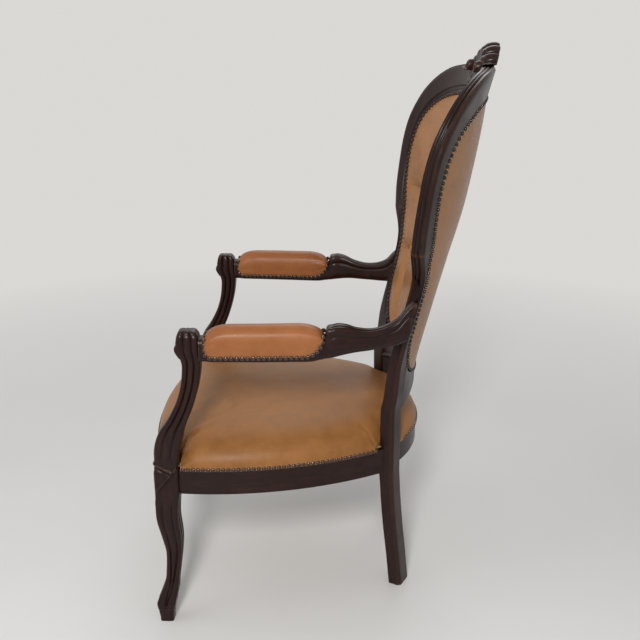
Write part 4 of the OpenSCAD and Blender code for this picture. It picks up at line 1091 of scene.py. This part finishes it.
def brass_look(name, dark, light):
    k = Look(name)
    edge = k.pointed()
    patch = k.noise(420, 5, 0.6)
    tone = k.ramp(patch, [(0.35, dark), (0.62, light)])
    # painted highlight: the edges of the heads brightened to a pale glint
    tone = k.blend(k.span(edge, 0.5, 0.6, 0, 0.3), tone, tuple(4 * c for c in light))
    return k.done(Base_Color=tone, Metallic=0.7, Roughness=k.span(patch, 0.3, 0.7, 0.15, 0.3),
                  Normal=k.bump(k.noise(900, 4), 0.0002, 0.4))


def weave_look(name, a, b, pitch):
    """Plain weave of threads at pitch, in metres."""
    k = Look(name)
    waves = {"Vector": k.coords, "Scale": 0.31416 / pitch * 0.5, "Distortion": 0.6,
             "Detail": 2, "Detail Scale": 3}
    cloth = k.times(*(k.node("TexWave", waves, bands_direction=axis).outputs["Fac"]
                      for axis in ("X", "Y")))
    fuzz = k.noise(700, 5, 0.7)
    tone = k.ramp(k.sum(cloth, k.times(fuzz, 0.35)), [(0.15, a), (0.85, b)])
    stain = k.noise(12, 4, 0.6)
    tone = k.blend(k.span(stain, 0.45, 0.75, 0, 0.35), tone, tuple(c * 0.6 for c in a))
    return k.done(Base_Color=tone, Roughness=0.9, Sheen_Weight=0.3,
                  Normal=k.bump(k.sum(cloth, k.times(fuzz, 0.4)), 0.0008, 0.8))


def beech_look():
    k = Look("pale_beech")
    grain = k.noise(2.2, 8, 0.6, 0.6, k.scaled((70, 14, 60)))
    tone = k.ramp(grain, [(0.32, (0.3, 0.17, 0.085)), (0.55, (0.42, 0.26, 0.14)),
                          (0.75, (0.52, 0.34, 0.2))])
    fleck = k.noise(1, 5, 0.6, 0, k.scaled((700, 120, 700)))
    tone = k.blend(k.span(fleck, 0.62, 0.7, 0, 0.5), tone, (0.22, 0.12, 0.06))
    return k.done(Base_Color=tone, Roughness=k.span(grain, 0.3, 0.7, 0.5, 0.68),
                  Normal=k.bump(fleck, 0.0003, 0.4))


def steel_look():
    k = Look("screw_steel")
    turn = k.noise(1, 5, 0.6, 0, k.scaled((900, 900, 60)))
    tone = k.ramp(turn, [(0.35, (0.22, 0.21, 0.2)), (0.65, (0.46, 0.45, 0.43))])
    return k.done(Base_Color=tone, Metallic=1, Roughness=k.span(turn, 0.3, 0.7, 0.25, 0.45),
                  Normal=k.bump(turn, 0.0002, 0.3))


WOOD = wood_look("mahogany_upright", (34, 34, 5))
WOOD_LONG = wood_look("mahogany_lengthwise", (34, 5, 34))
RAIL_CROSS = wood_look("mahogany_rail_crosswise", (5, 30, 34), carved=False)
RAIL_LONG = wood_look("mahogany_rail_lengthwise", (30, 5, 34), carved=False)
SEAT_HIDE = hide_look("tan_seat_leather", (0.2, 0.08, 0.021), (0.3, 0.128, 0.038),
                      (0.37, 0.168, 0.056), blotch=0.7, shine=(0.32, 0.46))
BACK_HIDE = hide_look("tan_back_leather", (0.22, 0.096, 0.036), (0.34, 0.156, 0.062),
                      (0.43, 0.208, 0.092), blotch=0.5, shine=(0.26, 0.4))
ARM_HIDE = hide_look("tan_arm_leather", (0.2, 0.064, 0.02), (0.285, 0.102, 0.034),
                     (0.35, 0.136, 0.05), blotch=0.5, shine=(0.26, 0.4))
BRASS = brass_look("antique_brass", (0.03, 0.019, 0.014), (0.08, 0.052, 0.04))
OLD_BRASS = brass_look("blackened_brass", (0.012, 0.009, 0.008), (0.036, 0.026, 0.022))
BEECH = beech_look()
STEEL = steel_look()
JUTE = weave_look("jute_webbing", (0.3, 0.2, 0.1), (0.5, 0.37, 0.21), 0.0022)
HESSIAN = weave_look("hessian_cloth", (0.24, 0.16, 0.08), (0.44, 0.32, 0.18), 0.0016)


# Build

for side, sign in SIDES.items():
    front_leg(side)
    rear_stile(side)
    arm_support(side)
    arm(side)
    arm_pad(side)
    arm_nails(side, sign)
top_rail()
bottom_rail()
crest()
seat()
seat_nails()
back_front()
back_rear()
back_buttons()
back_nails("back_nail_heads_front", "back_nails_front", -0.8, -1)
back_nails("back_nail_heads_rear", "back_nails_rear", FRAME_T + 0.8, 1)

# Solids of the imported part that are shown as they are
NODE_LOOKS = {
    RAIL_CROSS: "front_seat_rail rear_seat_rail",
    RAIL_LONG: "side_seat_rail_left side_seat_rail_right",
    BEECH: "front_corner_blocks rear_corner_blocks seat_rail_dowels back_frame_dowels arm_dowels",
    STEEL: "corner_block_screws",
    JUTE: "seat_webbing_lengthwise seat_webbing_crosswise back_webbing_upright back_webbing_level",
    HESSIAN: "seat_hessian"
}
for look, nodes in NODE_LOOKS.items():
    for node in nodes.split():
        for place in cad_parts[node].material_slots:
            place.material = look


# Stage, light and camera

BACKDROP = (0.7, 0.69, 0.67, 1)


def flat_floor():
    verts = [(i, j, 0) for i in range(-6, 7) for j in range(-6, 7)]
    mesh = bpy.data.meshes.new("floor")
    mesh.from_pydata(verts, [], [f[::-1] for f in grid_faces(13, 13, wrap=False)])
    obj = placed("floor", mesh)
    k = Look("pale_floor")
    shade = k.span(k.noise(3, 5, 0.6), 0.3, 0.7, 0, 0.5)
    k.done(Base_Color=k.blend(shade, (0.79, 0.78, 0.77), (0.76, 0.75, 0.74)), Roughness=0.62)
    # far from the chair the floor turns into the backdrop
    away = k.node("VectorMath", {0: k.coords}, operation="LENGTH").outputs["Value"]
    fade = k.times(k.span(away, 1, 2.6), k.seen_directly())
    glow = k.node("Emission", {"Color": BACKDROP, "Strength": 1})
    mix = k.node("MixShader", {0: fade, 1: k.bsdf.outputs[0], 2: glow.outputs[0]})
    k.put(k.t.nodes["Material Output"], "Surface", mix.outputs[0])
    mesh.materials.append(k.m)


def aimed(name, data, place, way):
    """An object at a place that looks along a direction."""
    obj = placed(name, data)
    obj.location = place
    obj.rotation_euler = Vector(way).to_track_quat("-Z", "Y").to_euler()
    return obj


def area_light(name, place, target_z, size, power, tint):
    """A round light that shines at a height on the chair's middle line."""
    data = bpy.data.lights.new(name, "AREA")
    data.shape, data.size, data.energy, data.color = "DISK", size, power, tint
    aimed(name, data, place, Vector((0, 0, target_z)) - Vector(place))


flat_floor()
area_light("key", (2.4, -0.25, 1.95), 0.5, 0.5, 50, (1, 0.985, 0.96))
area_light("fill", (0.6, -2.6, 2.6), 0.6, 2.4, 16, (0.97, 0.985, 1))
area_light("far", (-2.4, 0.2, 2.6), 0.7, 2, 18, (1, 1, 1))
scene = bpy.context.scene
scene.world = bpy.data.worlds.new("studio")
sky = Tree(scene.world)
plain = sky.t.nodes["Background"]
sky.put(plain, "Color", (0.86, 0.87, 0.88, 1))
sky.put(plain, "Strength", 0.42)
pale = sky.node("Background", {"Color": BACKDROP, "Strength": 1})
pick = sky.node("MixShader", {0: sky.seen_directly(), 1: plain.outputs[0], 2: pale.outputs[0]})
sky.put(sky.t.nodes["World Output"], "Surface", pick.outputs[0])

# Turned from -X, and tipped down
YAW, PITCH_DOWN = radians(-1.32), radians(18.66)
camera = aimed("camera", bpy.data.cameras.new("camera"), (1.7895, 0.0481, 1.1665),
               (-cos(PITCH_DOWN) * cos(YAW), cos(PITCH_DOWN) * sin(YAW), -sin(PITCH_DOWN)))
camera.data.sensor_width = 36
camera.data.lens = 48.375
scene.camera = camera
scene.view_settings.view_transform = "Standard"
